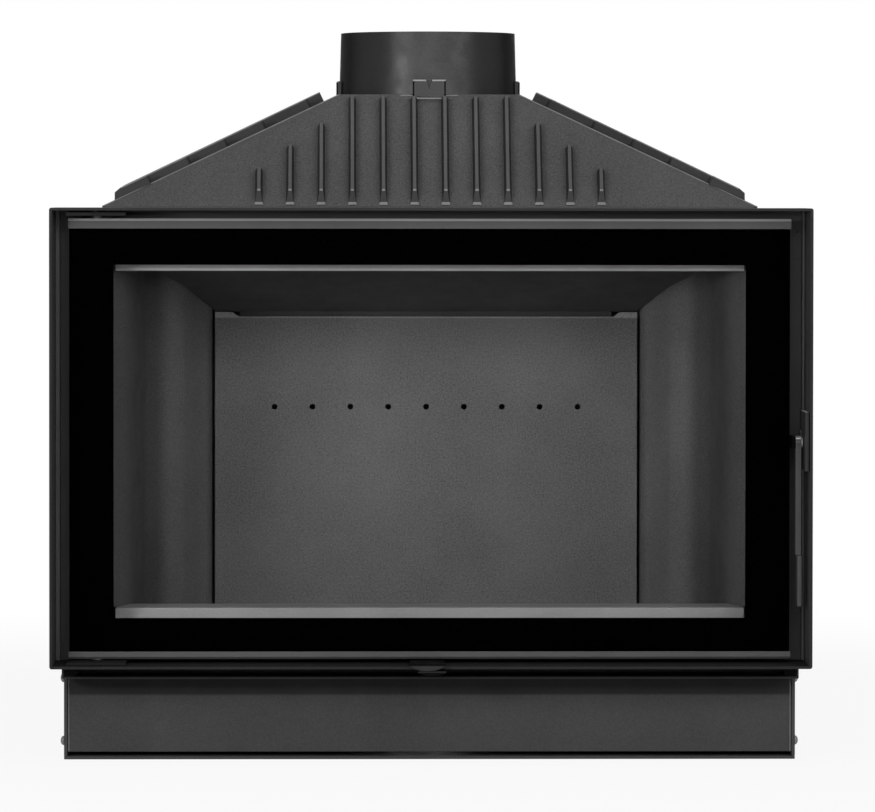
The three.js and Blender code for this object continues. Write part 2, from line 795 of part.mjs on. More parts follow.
function makeHood() {
  const flange = block(
    -hoodFootHalf - hoodFlangeProud, hoodFootHalf + hoodFlangeProud, shellFront,
    hoodFootBack + hoodFlangeProud, hoodBottom, hoodBottom + hoodFlangeThick,
  );
  const throatRadius = collarTopRadius - collarWall - flueThroatMargin;
  const throatFoot = hoodTop - hoodWall * 2;
  const throat = rodAlongZ(throatRadius, 0, flueY, throatFoot, hoodTop + cutOver, collarSegments);
  const ribs = [];
  const frontRib = {
    base: hoodRibBase,
    crest: hoodRibCrest,
    height: hoodRibHeight,
    nose: hoodRibNose,
    noseShare: 1,
  };
  const sideRib = {
    base: sideRibBase,
    crest: sideRibCrest,
    nose: sideRibNose,
    noseShare: sideRibNoseShare,
  };
  const collarFoot = hoodTop - hoodWall * 2;
  const collarSpace = rodAlongZ(
    collarRadius + fitGap, 0, flueY, collarFoot, hoodTop + cutOver, collarSegments,
  );
  const centres = spread(hoodRibs, hoodFootHalf * 2 * frontRibPitchShare);
  for (const face of ['front', 'back']) {
    const footOut = face === 'front' ? flueY - hoodFootFront : hoodFootBack - flueY;
    const turn = face === 'front' ? -1 : 1;
    const slope = Math.hypot(footOut - hoodTopReach, hoodRise);
    centres.forEach((x, i) => {
      const end = slope * frontRibEndShares[stepsFromMiddle(i)];
      const place = (along, out, z) => [along, flueY + turn * out, z];
      const rib = slopeRib(frontRib, x, footOut, hoodTopReach, hoodRibFoot, end, place);
      ribs.push(cut(rib, collarSpace));
    });
  }
  const sideSlope = Math.hypot(hoodFootHalf - hoodTopHalf, hoodRise);
  const ribMiddle = (hoodFootFront + hoodFootBack) / 2;
  for (const side of [-1, 1]) {
    spread(hoodRibs, (hoodFootBack - hoodFootFront) * sideRibPitchShare).forEach((y, i) => {
      const steps = stepsFromMiddle(i);
      const size = { ...sideRib, height: sideRibHeight - steps * sideRibHeightStep };
      const end = sideSlope * sideRibEndShares[steps];
      const place = (along, out, z) => [side * out, ribMiddle + along, z];
      ribs.push(slopeRib(size, y, hoodFootHalf, hoodTopHalf, sideRibFoot, end, place));
    });
  }
  const shell = join(hoodOuter(0), flange, ...ribs);
  addPiece('hood', cut(shell, hoodInner(), throat), finishes.castIron);
}

function makeCollar() {
  const foot = hoodTop - hoodWall * 2;
  const top = hoodTop + collarHeight;
  const profile = [
    [collarRadius - collarWall, foot],
    [collarRadius, foot],
    [collarRadius, hoodTop],
    [collarTopRadius, top],
    [collarTopRadius - collarWall, top],
    [collarRadius - collarWall, hoodTop],
    [collarRadius - collarWall, foot],
  ].map(([r, z]) => new THREE.Vector2(r, z));
  const tube = new THREE.LatheGeometry(profile, collarSegments);
  tube.rotateX(Math.PI / 2).translate(0, flueY, 0);
  const lugs = [];
  const lugTop = hoodTop + lugHeight;
  for (let quarter = 0; quarter < 4; quarter += 1) {
    const outer = collarRadius + lugThick;
    const half = lugWidth / 2;
    const lug = block(-half, half, -outer, -collarRadius + collarWall, hoodTop - lugFootDrop, lugTop);
    const notch = prismAlongY(
      outline([
        [-lugNotchWidth / 2, lugTop + cutOver],
        [0, lugTop - lugNotchDepth],
        [lugNotchWidth / 2, lugTop + cutOver],
      ]),
      -outer - cutOver,
      -collarRadius,
    );
    const whole = fromSolid(cut(lug, notch));
    lugs.push(whole.rotateZ((quarter * Math.PI) / 2).translate(0, flueY, 0));
  }
  const boreRadius = collarTopRadius - collarWall;
  const bore = rodAlongZ(boreRadius, 0, flueY, foot - cutOver, top + cutOver, collarSegments);
  addPiece('flue_collar', cut(join(tube, ...lugs), bore, hoodOuter(fitGap)), finishes.castIron);
}

// Hearth
function makeHearth() {
  const inner = shellInnerHalf - fitGap;
  const back = shellBack - shellWall - fitGap;
  const half = grateWidth / 2;
  const plate = block(-inner, inner, shellFront, back, hearthBottom, hearthTop);
  const well = block(
    -half - runGap, half + runGap, grateFront - runGap, grateFront + grateDepth + runGap,
    hearthTop - grateThick - fitGap, hearthTop + cutOver,
  );
  const drop = block(
    -half + grateLedge, half - grateLedge, grateFront + grateLedge, grateFront + grateDepth - grateLedge,
    hearthBottom - cutOver, hearthTop,
  );
  addPiece('hearth_plate', cut(plate, well, drop), finishes.liningIron);

  const bottom = hearthTop - grateThick;
  const slab = block(-half, half, grateFront, grateFront + grateDepth, bottom, hearthTop);
  const pitch = (grateWidth - grateRim * 2 + grateBarThick) / grateBars;
  const gaps = spread(grateBars, pitch).map((x) => {
    return block(
      x - (pitch - grateBarThick) / 2, x + (pitch - grateBarThick) / 2, grateFront + grateRim,
      grateFront + grateDepth - grateRim, bottom - cutOver, hearthTop + cutOver,
    );
  });
  addPiece('grate', cut(slab, ...gaps), finishes.liningIron);

  const panHalf = half - grateLedge - panGap;
  const panFront = grateFront + grateLedge + panGap;
  const panBack = grateFront + grateDepth - grateLedge - panGap;
  const panFoot = floorTop + fitGap;
  const panRing = (inset, z) => {
    return roundedRing(panHalf - inset, panFront + inset, panBack - inset, panTaper, z);
  };
  const rings = (inset, z0, z1) => [panRing(inset + panTaper, z0), panRing(inset, z1)];
  const panTop = panFoot + panHeight;
  const pan = cut(loft(rings(0, panFoot, panTop)), loft(rings(panWall, panFoot + panWall, panTop + fitGap)));
  addPiece('ash_pan', pan, finishes.baseSteel);
}

function makeSillAndLintel() {
  const half = openingHalf - sillEndGap;
  const foot = hearthTop + fitGap;
  const sill = prismAlongX(
    outline([
      [shellFront, foot],
      [shellFront + sillThick, foot],
      [shellFront + sillThick, sillTop - sillThick],
      [sillBack, sillTop - sillThick],
      [sillBack, sillTop],
      [shellFront, sillTop],
    ]),
    -half,
    half,
  );
  addPiece('sill', toSolid(sill), finishes.stripSteel);

  const barTop = openingTop - lintelDrop + lintelBarHeight;
  const barBottom = openingTop - lintelDrop;
  const radius = lintelBarHeight / 2;
  const shape = new THREE.Shape();
  shape.moveTo(shellFront, barTop + lintelFlangeHeight);
  shape.lineTo(shellFront, barBottom + radius);
  shape.absarc(shellFront + radius, barBottom + radius, radius, Math.PI, Math.PI * 1.5);
  shape.lineTo(shellFront + lintelBarDepth - radius, barBottom);
  shape.absarc(shellFront + lintelBarDepth - radius, barBottom + radius, radius, -Math.PI / 2, Math.PI / 2);
  shape.lineTo(shellFront + lintelFlange, barTop);
  shape.lineTo(shellFront + lintelFlange, barTop + lintelFlangeHeight);
  const lintelHalf = openingHalf - lintelEndGap;
  addPiece('lintel', toSolid(prismAlongX(shape, -lintelHalf, lintelHalf)), finishes.stripSteel);
}

// Linings
const liningFoot = hearthTop + fitGap;
const liningBackY = shellBack - shellWall - fitGap;
const liningFrontHalf = openingHalf - liningInset;
const liningBackHalf = liningFrontHalf - liningNarrowing;
const backLiningFront = shellBack - backLiningForward;
const backLiningTop = shellTop - backLiningDrop;
const liningFront = shellFront + lintelBarDepth + fitGap;
const liningBends = liningBendShares.map(([depth, narrowing]) => new THREE.Vector2(
  liningFrontHalf - liningNarrowing * narrowing,
  liningFront + (backLiningFront - liningFront) * depth,
));
const liningPlan = new THREE.SplineCurve(liningBends).getPoints(liningCurveSteps);
const baffleBackY = backLiningFront + backLiningThick;
const baffleBackZ = backLiningTop + backLugHeight + fitGap;
const baffleFrontY = plateBack + baffleFrontSetback;
const baffleFrontZ = shellTop - baffleFrontDrop;

function liningHalfAt(y) {
  const next = liningPlan.findIndex((point) => point.y >= y);
  if (next < 0) {
    return liningBackHalf;
  }
  const from = liningPlan[Math.max(0, next - 1)];
  const to = liningPlan[Math.max(1, next)];
  return from.x + ((to.x - from.x) * (y - from.y)) / (to.y - from.y);
}

function liningEdge(y0, y1, offset) {
  const between = liningPlan.filter((point) => point.y > y0 + fitGap && point.y < y1 - fitGap);
  return [
    [liningHalfAt(y0) + offset, y0],
    ...between.map((point) => [point.x + offset, point.y]),
    [liningHalfAt(y1) + offset, y1],
  ];
}

function baffleUnder(y) {
  return baffleBackZ + ((baffleBackY - y) * (baffleFrontZ - baffleBackZ)) / (baffleBackY - baffleFrontY);
}

function makeLinings() {
  const top = hoodBottom - liningHeadroom;
  const inner = liningEdge(liningFront, liningBackY, 0);
  const outer = liningEdge(liningFront, liningBackY, liningThick).reverse();
  for (const [name, side] of [['left', -1], ['right', 1]]) {
    const shape = outline([...inner, ...outer].map(([x, y]) => [side * x, y]));
    const sillNotch = block(
      side * liningBackHalf, side * shellInnerHalf, shellFront, sillBack + fitGap,
      liningFoot - cutOver, sillTop + fitGap,
    );
    const wall = cut(prismAlongZ(shape, liningFoot, top), sillNotch);
    const pegY = plateBack + pegSetback;
    const pegOut = side * (liningHalfAt(pegY) + liningThick / 2);
    const pegIn = side * (liningHalfAt(pegY) - pegReach);
    const pegTop = baffleUnder(pegY + pegDepth) - fitGap;
    const peg = block(pegOut, pegIn, pegY, pegY + pegDepth, pegTop - pegHeight, pegTop);
    addPiece(`${name}_lining`, join(wall, peg), finishes.liningIron);
  }

  const bodyTop = backLiningTop;
  const backLugTop = bodyTop + backLugHeight;
  const half = liningBackHalf - backLiningSideGap;
  const shape = outline([
    [-half, liningFoot],
    [half, liningFoot],
    [half, backLugTop],
    [half - backLugWidth + backLugSlope, backLugTop],
    [half - backLugWidth, bodyTop],
    [-half + backLugWidth, bodyTop],
    [-half + backLugWidth - backLugSlope, backLugTop],
    [-half, backLugTop],
  ]);
  const plate = prismAlongY(shape, backLiningFront, backLiningFront + backLiningThick);
  const holes = spread(airHoles, airHolePitch).map((x) => rodAlongY(
    airHoleRadius, x, backLiningFront - cutOver, backLiningFront + backLiningThick + cutOver,
    bodyTop - airHoleDrop, airHoleSegments,
  ));
  addPiece('back_lining', cut(plate, ...holes), finishes.liningIron);
}

function makeBaffle() {
  const edge = liningEdge(baffleFrontY, baffleBackY, -baffleSideGap);
  const mirrored = edge.map(([x, y]) => [-x, y]).reverse();
  const plan = outline([...edge, ...mirrored]);
  const column = prismAlongZ(plan, baffleBackZ - cutOver, baffleFrontZ + baffleThick + cutOver);
  const side = outline([
    [baffleFrontY, baffleUnder(baffleFrontY)],
    [baffleBackY, baffleBackZ],
    [baffleBackY, baffleBackZ + baffleThick],
    [baffleFrontY, baffleUnder(baffleFrontY) + baffleThick],
  ]);
  const slab = prismAlongX(side, -liningFrontHalf - cutOver, liningFrontHalf + cutOver);
  addPiece('baffle', toSolid(column).intersect(toSolid(slab)), finishes.liningIron);
}

// Door
function makeDoor() {
  const pinHole = (z0, z1) => rodAlongZ(pinRadius + pinGap, hingeX, hingeY, z0 - cutOver, z1 + cutOver);
  const headStrip = prismAlongX(
    outline([
      [doorFront, doorTop - stripHeight],
      [doorFront + stripLip, doorTop - stripHeight],
      [doorFront + stripLip, doorTop - stripWeb],
      [stripBack, doorTop - stripWeb],
      [stripBack, doorTop],
      [doorFront + stripChamfer, doorTop],
      [doorFront, doorTop - stripChamfer],
    ]),
    doorLeft,
    doorRight,
  );
  addPiece('door_head_strip', cut(headStrip, pinHole(doorTop - stripWeb, doorTop)), finishes.stripSteel);
  const footStrip = prismAlongX(
    outline([
      [doorFront, doorBottom + stripFootHeight],
      [doorFront, doorBottom + stripChamfer],
      [doorFront + stripChamfer, doorBottom],
      [stripBack, doorBottom],
      [stripBack, doorBottom + stripWeb],
      [doorFront + stripLip, doorBottom + stripWeb],
      [doorFront + stripLip, doorBottom + stripFootHeight],
    ]),
    doorLeft,
    doorRight,
  );
  const footHole = pinHole(doorBottom, doorBottom + stripWeb);
  addPiece('door_foot_strip', cut(footStrip, footHole), finishes.stripSteel);

  const [paneLeft, paneRight] = [doorLeft + glassSideGap, doorRight - glassSideGap];
  const pane = block(paneLeft, paneRight, glassFront, glassBack, paneFoot, paneTop);
  addPiece('door_glass', pane, finishes.glass);
  const window = rectangle(doorLeft + windowBorder, doorRight - windowBorder, windowBottom, windowTop);
  const enamel = ring(rectangle(paneLeft, paneRight, paneFoot, paneTop), window);
  addPiece('door_glass_border', prismAlongY(enamel, enamelFront, enamelBack), finishes.enamel);

  const [frameLeft, frameRight] = [doorLeft + stileInset, doorRight - stileInset];
  const aroundHole = (grow) => rectangle(
    frameLeft + stileWidth - grow, frameRight - stileWidth + grow,
    paneFoot + railFoot - grow, paneTop - railHead + grow,
  );
  const frame = ring(rectangle(frameLeft, frameRight, paneFoot, paneTop), aroundHole(0));
  addPiece('door_frame', prismAlongY(frame, frameFront, frameBack), finishes.frameSteel);
  const tape = ring(aroundHole(tapeWidth), aroundHole(0));
  addPiece('glass_seal', prismAlongY(tape, tapeFront, tapeBack), finishes.rope);
  const rope = ring(aroundHole(ropeMargin + ropeThick), aroundHole(ropeMargin));
  addPiece('door_seal', prismAlongY(rope, frameBack + fitGap, plateFront - fitGap), finishes.rope);
}

// Hinges
function makeHinges() {
  const half = hingePlateWidth / 2;
  const front = rimY + hingePlateFront;
  const back = recessY;
  const headTop = wallInnerTop - hingeHeadGap;
  const headBottom = headTop - hingePlateThick;
  const footBottom = wallInnerFoot + fitGap;
  const footTop = footBottom + hingeFootPlateThick;
  const hole = (z0, z1) => rodAlongZ(pinRadius + pinGap, hingeX, hingeY, z0 - cutOver, z1 + cutOver);
  const headPlate = block(hingeX - half, hingeX + half, front, back, headBottom, headTop);
  const footPlate = block(hingeX - half, hingeX + half, front, back, footBottom, footTop);
  addPiece('hinge_plate_upper', cut(headPlate, hole(headBottom, headTop)), finishes.frameSteel);
  addPiece('hinge_plate_lower', cut(footPlate, hole(footBottom, footTop)), finishes.frameSteel);

  const bush = (z0, z1) => cut(rodAlongZ(bushRadius, hingeX, hingeY, z0, z1), hole(z0, z1));
  addPiece('hinge_bush_upper', bush(doorTop + fitGap, headBottom - fitGap), finishes.boltSteel);
  addPiece('hinge_bush_lower', bush(footTop + fitGap, doorBottom - fitGap), finishes.boltSteel);

  const pinFoot = doorTop - stripWeb + fitGap;
  const shank = rodAlongZ(pinRadius, hingeX, hingeY, pinFoot, headTop + pinHeadThick);
  const head = rodAlongZ(pinHeadRadius, hingeX, hingeY, headTop + fitGap, headTop + fitGap + pinHeadThick);
  addPiece('hinge_pin_upper', join(shank, head), finishes.boltSteel);
  const lowerPin = rodAlongZ(pinRadius, hingeX, hingeY, footBottom, doorBottom + stripWeb - fitGap);
  addPiece('hinge_pin_lower', toSolid(lowerPin), finishes.boltSteel);
}

// Handle
function makeHandle() {
  const stileSide = doorRight - stileInset + fitGap;
  const bracketIn = bracketX - bracketPlate;
  const bracketBack = frameBack - bracketBackInset;
  const z0 = handleZ - bracketHalf;
  const z1 = handleZ + bracketHalf;
  const root = block(stileSide, bracketX, frameFront, bracketBack, z0, z1);
  const arm = block(bracketIn, bracketX, handleY - bracketHalf, bracketBack, z0, z1);
  const eye = rodAlongX(spindleRadius + pinGap, bracketIn - cutOver, bracketX + cutOver, handleY, handleZ);
  addPiece('handle_bracket', cut(join(root, arm), eye), finishes.enamel);

  const leverOut = leverX + leverThick;
  const headIn = leverOut + fitGap;
  const spindle = rodAlongX(spindleRadius, bracketIn, headIn + spindleHeadThick / 2, handleY, handleZ);
  const cap = rodAlongX(spindleHeadRadius, headIn, headIn + spindleHeadThick, handleY, handleZ);
  addPiece('handle_spindle', join(spindle, cap), finishes.handleSteel);

  const armHalf = leverWidth / 2;
  const shape = new THREE.Shape();
  const noseTop = handleZ + leverNoseHeight / 2;
  const noseEnd = handleY + leverNose;
  const join0 = Math.asin(armHalf / leverHub);
  shape.moveTo(handleY - armHalf, handleZ - leverLength);
  shape.lineTo(handleY + armHalf, handleZ - leverLength);
  shape.lineTo(handleY + armHalf, handleZ - leverHub);
  shape.lineTo(noseEnd - leverNoseHeight / 2, handleZ - leverNoseHeight / 2);
  shape.lineTo(noseEnd, handleZ - leverNoseHeight / 2 - leverNoseDrop);
  shape.lineTo(noseEnd, noseTop - leverNoseDrop / 2);
  shape.lineTo(noseEnd - leverNoseHeight / 2, noseTop);
  const upper = Math.asin(leverNoseHeight / 2 / leverHub);
  shape.absarc(handleY, handleZ, leverHub, upper, Math.PI * 1.5 - join0);
  shape.closePath();
  const blade = prismAlongX(shape, leverX, leverOut);
  const bore = rodAlongX(spindleRadius + fitGap, leverX - cutOver, leverOut + cutOver, handleY, handleZ);
  const middle = (leverX + leverOut) / 2;
  const tongue = block(
    middle - tongueThick / 2, middle + tongueThick / 2, handleY - tongueWidth / 2, handleY + tongueWidth / 2,
    handleZ - leverLength - tongueLength, handleZ - leverLength + cutOver,
  );
  addPiece('handle_lever', cut(join(blade, tongue), bore), finishes.handleSteel);

  const gripTop = handleZ - leverLength - fitGap;
  const gripIn = leverX + gripOffset;
  const gripShape = rectangle(
    gripIn, gripIn + gripThick, handleY - gripWidth / 2, handleY + gripWidth / 2, gripCorner,
  );
  const slot = block(
    middle - tongueThick / 2 - fitGap, middle + tongueThick / 2 + fitGap, handleY - tongueWidth / 2 - fitGap,
    handleY + tongueWidth / 2 + fitGap, gripTop - tongueLength - fitGap, gripTop + cutOver,
  );
  const grip = prismAlongZ(gripShape, gripTop - gripLength, gripTop);
  addPiece('handle_grip', cut(grip, slot), finishes.handleSteel);

  const keeperTop = handleZ + keeperRise;
  const keeperBack = plateFront - lipReach - fitGap;
  const plate = block(
    keeperX, keeperX + keeperThick, rimY + keeperFront, keeperBack, keeperTop - keeperHeight, keeperTop,
  );
  const pad = block(
    keeperX + keeperThick / 2, wallInnerHalf - fitGap, keeperBack - keeperPadDepth, keeperBack,
    keeperTop - keeperHeight, keeperTop - keeperHeight + keeperPadHeight,
  );
  const toothY = rimY + keeperToothSetback;
  const tooth = block(
    keeperX - keeperToothReach, keeperX + keeperThick / 2, toothY, toothY + keeperToothDepth,
    handleZ - keeperToothHeight / 2, handleZ + keeperToothHeight / 2,
  );
  addPiece('handle_keeper', join(plate, pad, tooth), finishes.frameSteel);
}

// Air controls
function tongue(half, drop, y0, y1, foot) {
  const top = foot + airLeverThick;
  const lip = new THREE.Shape();
  lip.moveTo(-half, top);
  lip.absellipse(0, top, half, drop, Math.PI, Math.PI * 2);
  const strip = block(-half, half, y0, y1, foot, top);
  return join(strip, prismAlongY(lip, y0, y0 + airLipThick, tongueSteps));
}

function makeAirControls() {
  const tip = rimY - tongueReach;
  const upperFoot = wallInnerFoot + runGap;
  const shutterFront = plateBack + runGap;
  const upper = tongue(upperTongueWidth / 2, upperLipDrop, tip, shutterFront + shutterThick, upperFoot);
  addPiece('upper_air_lever', upper.translate([upperRestShift, 0, 0]), finishes.frameSteel);

  const slotTop = wallInnerFoot + upperSlotRise + shutterSlotHeight;
  const plateFoot = upperFoot + airLeverThick + fitGap;
  const upperPlate = block(
    -shutterHalf, shutterHalf, shutterFront, shutterFront + shutterThick, plateFoot,
    Math.max(plateFoot + upperShutterHeight, slotTop + shutterThick),
  );
  const windows = upperSlots(-airTravel, shutterFront - cutOver, shutterFront + shutterThick + cutOver);
  addPiece('upper_air_shutter', cut(upperPlate, ...windows), finishes.boltSteel);

  const lowerFoot = deckTop + lowerLeverLift;
  const lowerHalf = lowerTongueWidth / 2;
  const shutterY = shellFront + lowerShutterSetback;
  const lowerPlateTop = deckTop + fitGap + shutterThick;
  const riser = block(
    -lowerHalf, lowerHalf, shutterY, shutterY + lowerRiserDepth, lowerPlateTop + fitGap, lowerFoot + sink,
  );
  const lower = join(tongue(lowerHalf, lowerLipDrop, tip, shutterY + lowerRiserDepth, lowerFoot), riser);
  addPiece('lower_air_lever', lower.translate([lowerRestShift, 0, 0]), finishes.frameSteel);
  const lowerPlate = block(
    -shutterHalf, shutterHalf, shutterY, shutterY + lowerShutterDepth, deckTop + fitGap, lowerPlateTop,
  );
  const lowerWindows = lowerSlots(-airTravel, deckTop - cutOver, deckTop + shutterThick + cutOver);
  addPiece('lower_air_shutter', cut(lowerPlate, ...lowerWindows), finishes.boltSteel);
}

makeBase();
makeBolts();
makeDeck();
makeSurround();
makeFrontPlate();
makeShell();
makeHood();
makeCollar();
makeHearth();
makeSillAndLintel();
makeLinings();
makeBaffle();
makeDoor();
makeHinges();
makeHandle();
makeAirControls();

export default insert;
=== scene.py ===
import json
import math

import bpy
from mathutils import Euler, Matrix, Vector


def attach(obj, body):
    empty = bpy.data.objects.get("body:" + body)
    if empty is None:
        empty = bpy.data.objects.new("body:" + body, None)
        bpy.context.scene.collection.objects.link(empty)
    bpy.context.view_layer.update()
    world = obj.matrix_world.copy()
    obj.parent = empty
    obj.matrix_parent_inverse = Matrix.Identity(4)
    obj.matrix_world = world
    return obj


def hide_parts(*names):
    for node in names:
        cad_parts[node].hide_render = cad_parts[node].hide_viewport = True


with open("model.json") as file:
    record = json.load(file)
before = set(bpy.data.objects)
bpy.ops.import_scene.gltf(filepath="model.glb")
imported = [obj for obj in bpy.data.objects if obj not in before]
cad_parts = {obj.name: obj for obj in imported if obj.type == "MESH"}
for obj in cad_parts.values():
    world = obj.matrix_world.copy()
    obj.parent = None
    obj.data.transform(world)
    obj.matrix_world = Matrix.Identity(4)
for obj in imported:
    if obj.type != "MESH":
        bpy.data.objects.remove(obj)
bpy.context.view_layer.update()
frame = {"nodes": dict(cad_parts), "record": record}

body_of_node = {
    node: body for body, nodes in frame["record"]["behaviour"]["bodies"].items() for node in nodes
}

# Sizes and places on the solids, in metres. X is to the right, Y to the back and Z up.
MM = 0.001
RIM = -0.264  # front of the surround
FLUE_Y = 0.016  # middle of the flue
LUG_REACH = 0.1018  # where the collar's lugs begin, out from the middle of the flue
LUG_CORNERS = 0.1055  # their outer corners lie past this
LUG_TOP_EDGES = 0.1045  # their outer top edges lie past this, and above the next
LUG_TOP = 0.757
FRONT_LUG = -0.085  # the front lug lies in front of this
NOTCH_HALF = 0.01
SLOPE_FOOT = 0.6183  # the hood's slopes begin at this height, and in Y or X at the next three
FRONT_FOOT = -0.166
BACK_FOOT = 0.176
SIDE_FOOT = 0.3663
FRONT_OUT = Vector((0, -0.8369, 0.5473))  # straight out of each slope
BACK_OUT = Vector((0, 0.9017, 0.4323))
SIDE_OUT = Vector((0.4317, 0, 0.9021))
ON_SLOPE = 0.001  # what stands out less than this is the slope itself
RIB_START = 0.0012  # what stands out more than this is on a rib
RIB_CREST = 0.0075  # what stands out more than this is on its crest
NOSE_EDGE = 0.0083  # the crest's lower edge, which carries a painted highlight, stands out more than this
SIDE_RIB_EDGE = 0.008
NOSE_TOP = 0.641  # the noses of the front and back ribs lie under this
NOSE_EDGE_TOP = 0.64
RIBS = 12
RIB_PITCH = SIDE_FOOT * 2 * 0.0475
PANEL_FRONT = -0.167  # the base panel's front corners lie in front of this
PANEL_END = 0.4
TONGUE_BACK = -0.2545  # the tongues' front edges lie in front of this, and their faces of the next
TONGUE_FACE = -0.255
UPPER_TONGUE_TOP = 0.1145
TONGUES_MEET = (0.1065, 0.1072)
PLATE_LIP_BACK = -0.187
SPINDLE_BARE_FROM = 0.4034  # the spindle is bare metal, with a painted highlight, to the right of this
LEVER_EYE = 0.36  # the lever's top carries a painted highlight on its upturned faces above this, and on all faces above the next
LEVER_EYE_TOP = 0.3635
LINING_TOP = 0.484
LEDGE_TOP = 0.2  # the surround's bottom wall lies under this
HEAD_STRIP_BACK = -0.2125


# Selecting and editing
def work_on(piece):
    bpy.ops.object.select_all(action="DESELECT")
    piece.select_set(True)
    bpy.context.view_layer.objects.active = piece


def edit_all(piece):
    """Opens a piece in edit mode with all of it selected."""
    work_on(piece)
    bpy.ops.object.mode_set(mode="EDIT")
    bpy.ops.mesh.select_all(action="SELECT")


def pick(piece, kind, chosen):
    """Opens a piece in edit mode with the chosen FACEs, EDGEs or VERTs selected.

    A face is chosen by centre and normal, an edge by middle, direction and length, a point by place.
    """
    work_on(piece)
    bpy.ops.object.mode_set(mode="EDIT")
    bpy.ops.mesh.select_mode(type=kind)
    bpy.ops.mesh.select_all(action="DESELECT")
    bpy.ops.object.mode_set(mode="OBJECT")
    mesh = piece.data
    if kind == "FACE":
        for face in mesh.polygons:
            face.select = chosen(face.center, face.normal)
    elif kind == "EDGE":
        for edge in mesh.edges:
            first, second = (mesh.vertices[i].co for i in edge.vertices)
            along = second - first
            edge.select = chosen((first + second) / 2, along.normalized(), along.length)
    else:
        for point in mesh.vertices:
            point.select = chosen(point.co)
    bpy.ops.object.mode_set(mode="EDIT")


def leave_edit():
    bpy.ops.object.mode_set(mode="OBJECT")


def apply_modifier(piece, kind, **settings):
    work_on(piece)
    modifier = piece.modifiers.new(kind.lower(), kind)
    for name, value in settings.items():
        setattr(modifier, name, value)
    bpy.ops.object.modifier_apply(modifier=modifier.name)


def soften(piece, width):
    """Rounds every edge by a width in millimetres, takes slivers out and smooths the shading."""
    if width:
        apply_modifier(
            piece, "BEVEL", width=width * MM, segments=2, limit_method="ANGLE", angle_limit=math.radians(32)
        )
    edit_all(piece)
    bpy.ops.mesh.dissolve_degenerate(threshold=2e-6)
    leave_edit()
    bpy.ops.object.shade_smooth_by_angle(angle=math.radians(34))
    apply_modifier(piece, "WEIGHTED_NORMAL", mode="FACE_AREA", weight=80, keep_sharp=True)


def bevel_where(piece, width, steps, chosen):
    """Bevels the edges that are chosen by middle, direction and length."""
    near = 1e-5
    pick(piece, "EDGE", chosen)
    bpy.ops.mesh.bevel(
        offset=width * MM, offset_type="OFFSET", segments=steps, affect="EDGES", clamp_overlap=True
    )
    bpy.ops.mesh.select_all(action="SELECT")
    bpy.ops.mesh.remove_doubles(threshold=near)
    bpy.ops.mesh.dissolve_degenerate(threshold=near)
    leave_edit()


def settle(piece, name, body, material, nodes=()):
    """Names a finished piece, puts its place into its mesh and ties it to the solids."""
    work_on(piece)
    bpy.ops.object.transform_apply(location=True, rotation=True, scale=True)
    piece.name = name
    piece.data.name = name
    piece.data.materials.clear()
    piece.data.materials.append(material)
    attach(piece, body)
    if nodes:
        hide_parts(*nodes)
    return piece


def second_finish(piece, name, chosen):
    """Gives the faces that are chosen by centre and normal a finish of their own."""
    piece.data.materials.append(finish[name])
    for face in piece.data.polygons:
        if chosen(face.center, face.normal):
            face.material_index = len(piece.data.materials) - 1


def from_solid(node, width, material, first_bevels):
    """A soft-edged copy of a solid, which stands for it. Wider bevels on chosen edges come first."""
    piece = bpy.data.objects.new(node + "_finished", frame["nodes"][node].data.copy())
    bpy.context.scene.collection.objects.link(piece)
    edit_all(piece)
    bpy.ops.mesh.remove_doubles(threshold=1e-6)
    bpy.ops.mesh.dissolve_limited(angle_limit=math.radians(0.4))
    leave_edit()
    for wide, steps, chosen in first_bevels:
        bevel_where(piece, wide, steps, chosen)
    soften(piece, width)
    return settle(piece, node + "_finished", body_of_node[node], material, [node])


# Materials
class Wire:
    """A socket of a material, with arithmetic on it."""

    def __init__(self, tree, socket):
        self.tree = tree
        self.socket = socket

    def node(self, kind, inputs, settings=None, output=0):
        made = self.tree.nodes.new("ShaderNode" + kind)
        for name, value in (settings or {}).items():
            setattr(made, name, value)
        for name, value in inputs.items():
            if isinstance(value, Wire):
                self.tree.links.new(value.socket, made.inputs[name])
            else:
                made.inputs[name].default_value = value
        return Wire(self.tree, made.outputs[output])

    def feed(self, socket):
        self.tree.links.new(self.socket, socket)

    def maths(self, operation, *values):
        return self.node("Math", dict(enumerate(values)), {"operation": operation})

    def __add__(self, other):
        return self.maths("ADD", self, other)

    __radd__ = __add__

    def __mul__(self, other):
        return self.maths("MULTIPLY", self, other)

    __rmul__ = __mul__

    def __sub__(self, other):
        return self.maths("SUBTRACT", self, other)

    def __rsub__(self, other):
        return self.maths("SUBTRACT", other, self)

    def __abs__(self):
        return self.maths("ABSOLUTE", self)

    def larger(self, other):
        return self.maths("MAXIMUM", self, other)

    def near(self, value, reach):
        """1 within reach of a value, 0 elsewhere."""
        return self.maths("COMPARE", self, value, reach)

    def noise(self, scale, detail=3, roughness=0.55):
        inputs = {"Vector": self, "Scale": scale, "Detail": detail, "Roughness": roughness}
        return self.node("TexNoise", inputs)

    def ramp(self, low, high, to_low=0.0, to_high=1.0):
        inputs = {"Value": self, "From Min": low, "From Max": high, "To Min": to_low, "To Max": to_high}
        return self.node("MapRange", inputs, {"interpolation_type": "SMOOTHSTEP"})

    def blend(self, first, second):
        return self.node("Mix", {0: self, 6: first, 7: second}, {"data_type": "RGBA"}, 2)

    def stretch(self, x, y, z):
        return self.node("Mapping", {"Vector": self, "Scale": (x, y, z)})

    def part(self, axis):
        return self.node("SeparateXYZ", {"Vector": self}, output="XYZ".index(axis))

    def vector_maths(self, operation, inputs, output):
        return self.node("VectorMath", inputs, {"operation": operation}, output)


def grey(value):
    return (value, value, value, 1)


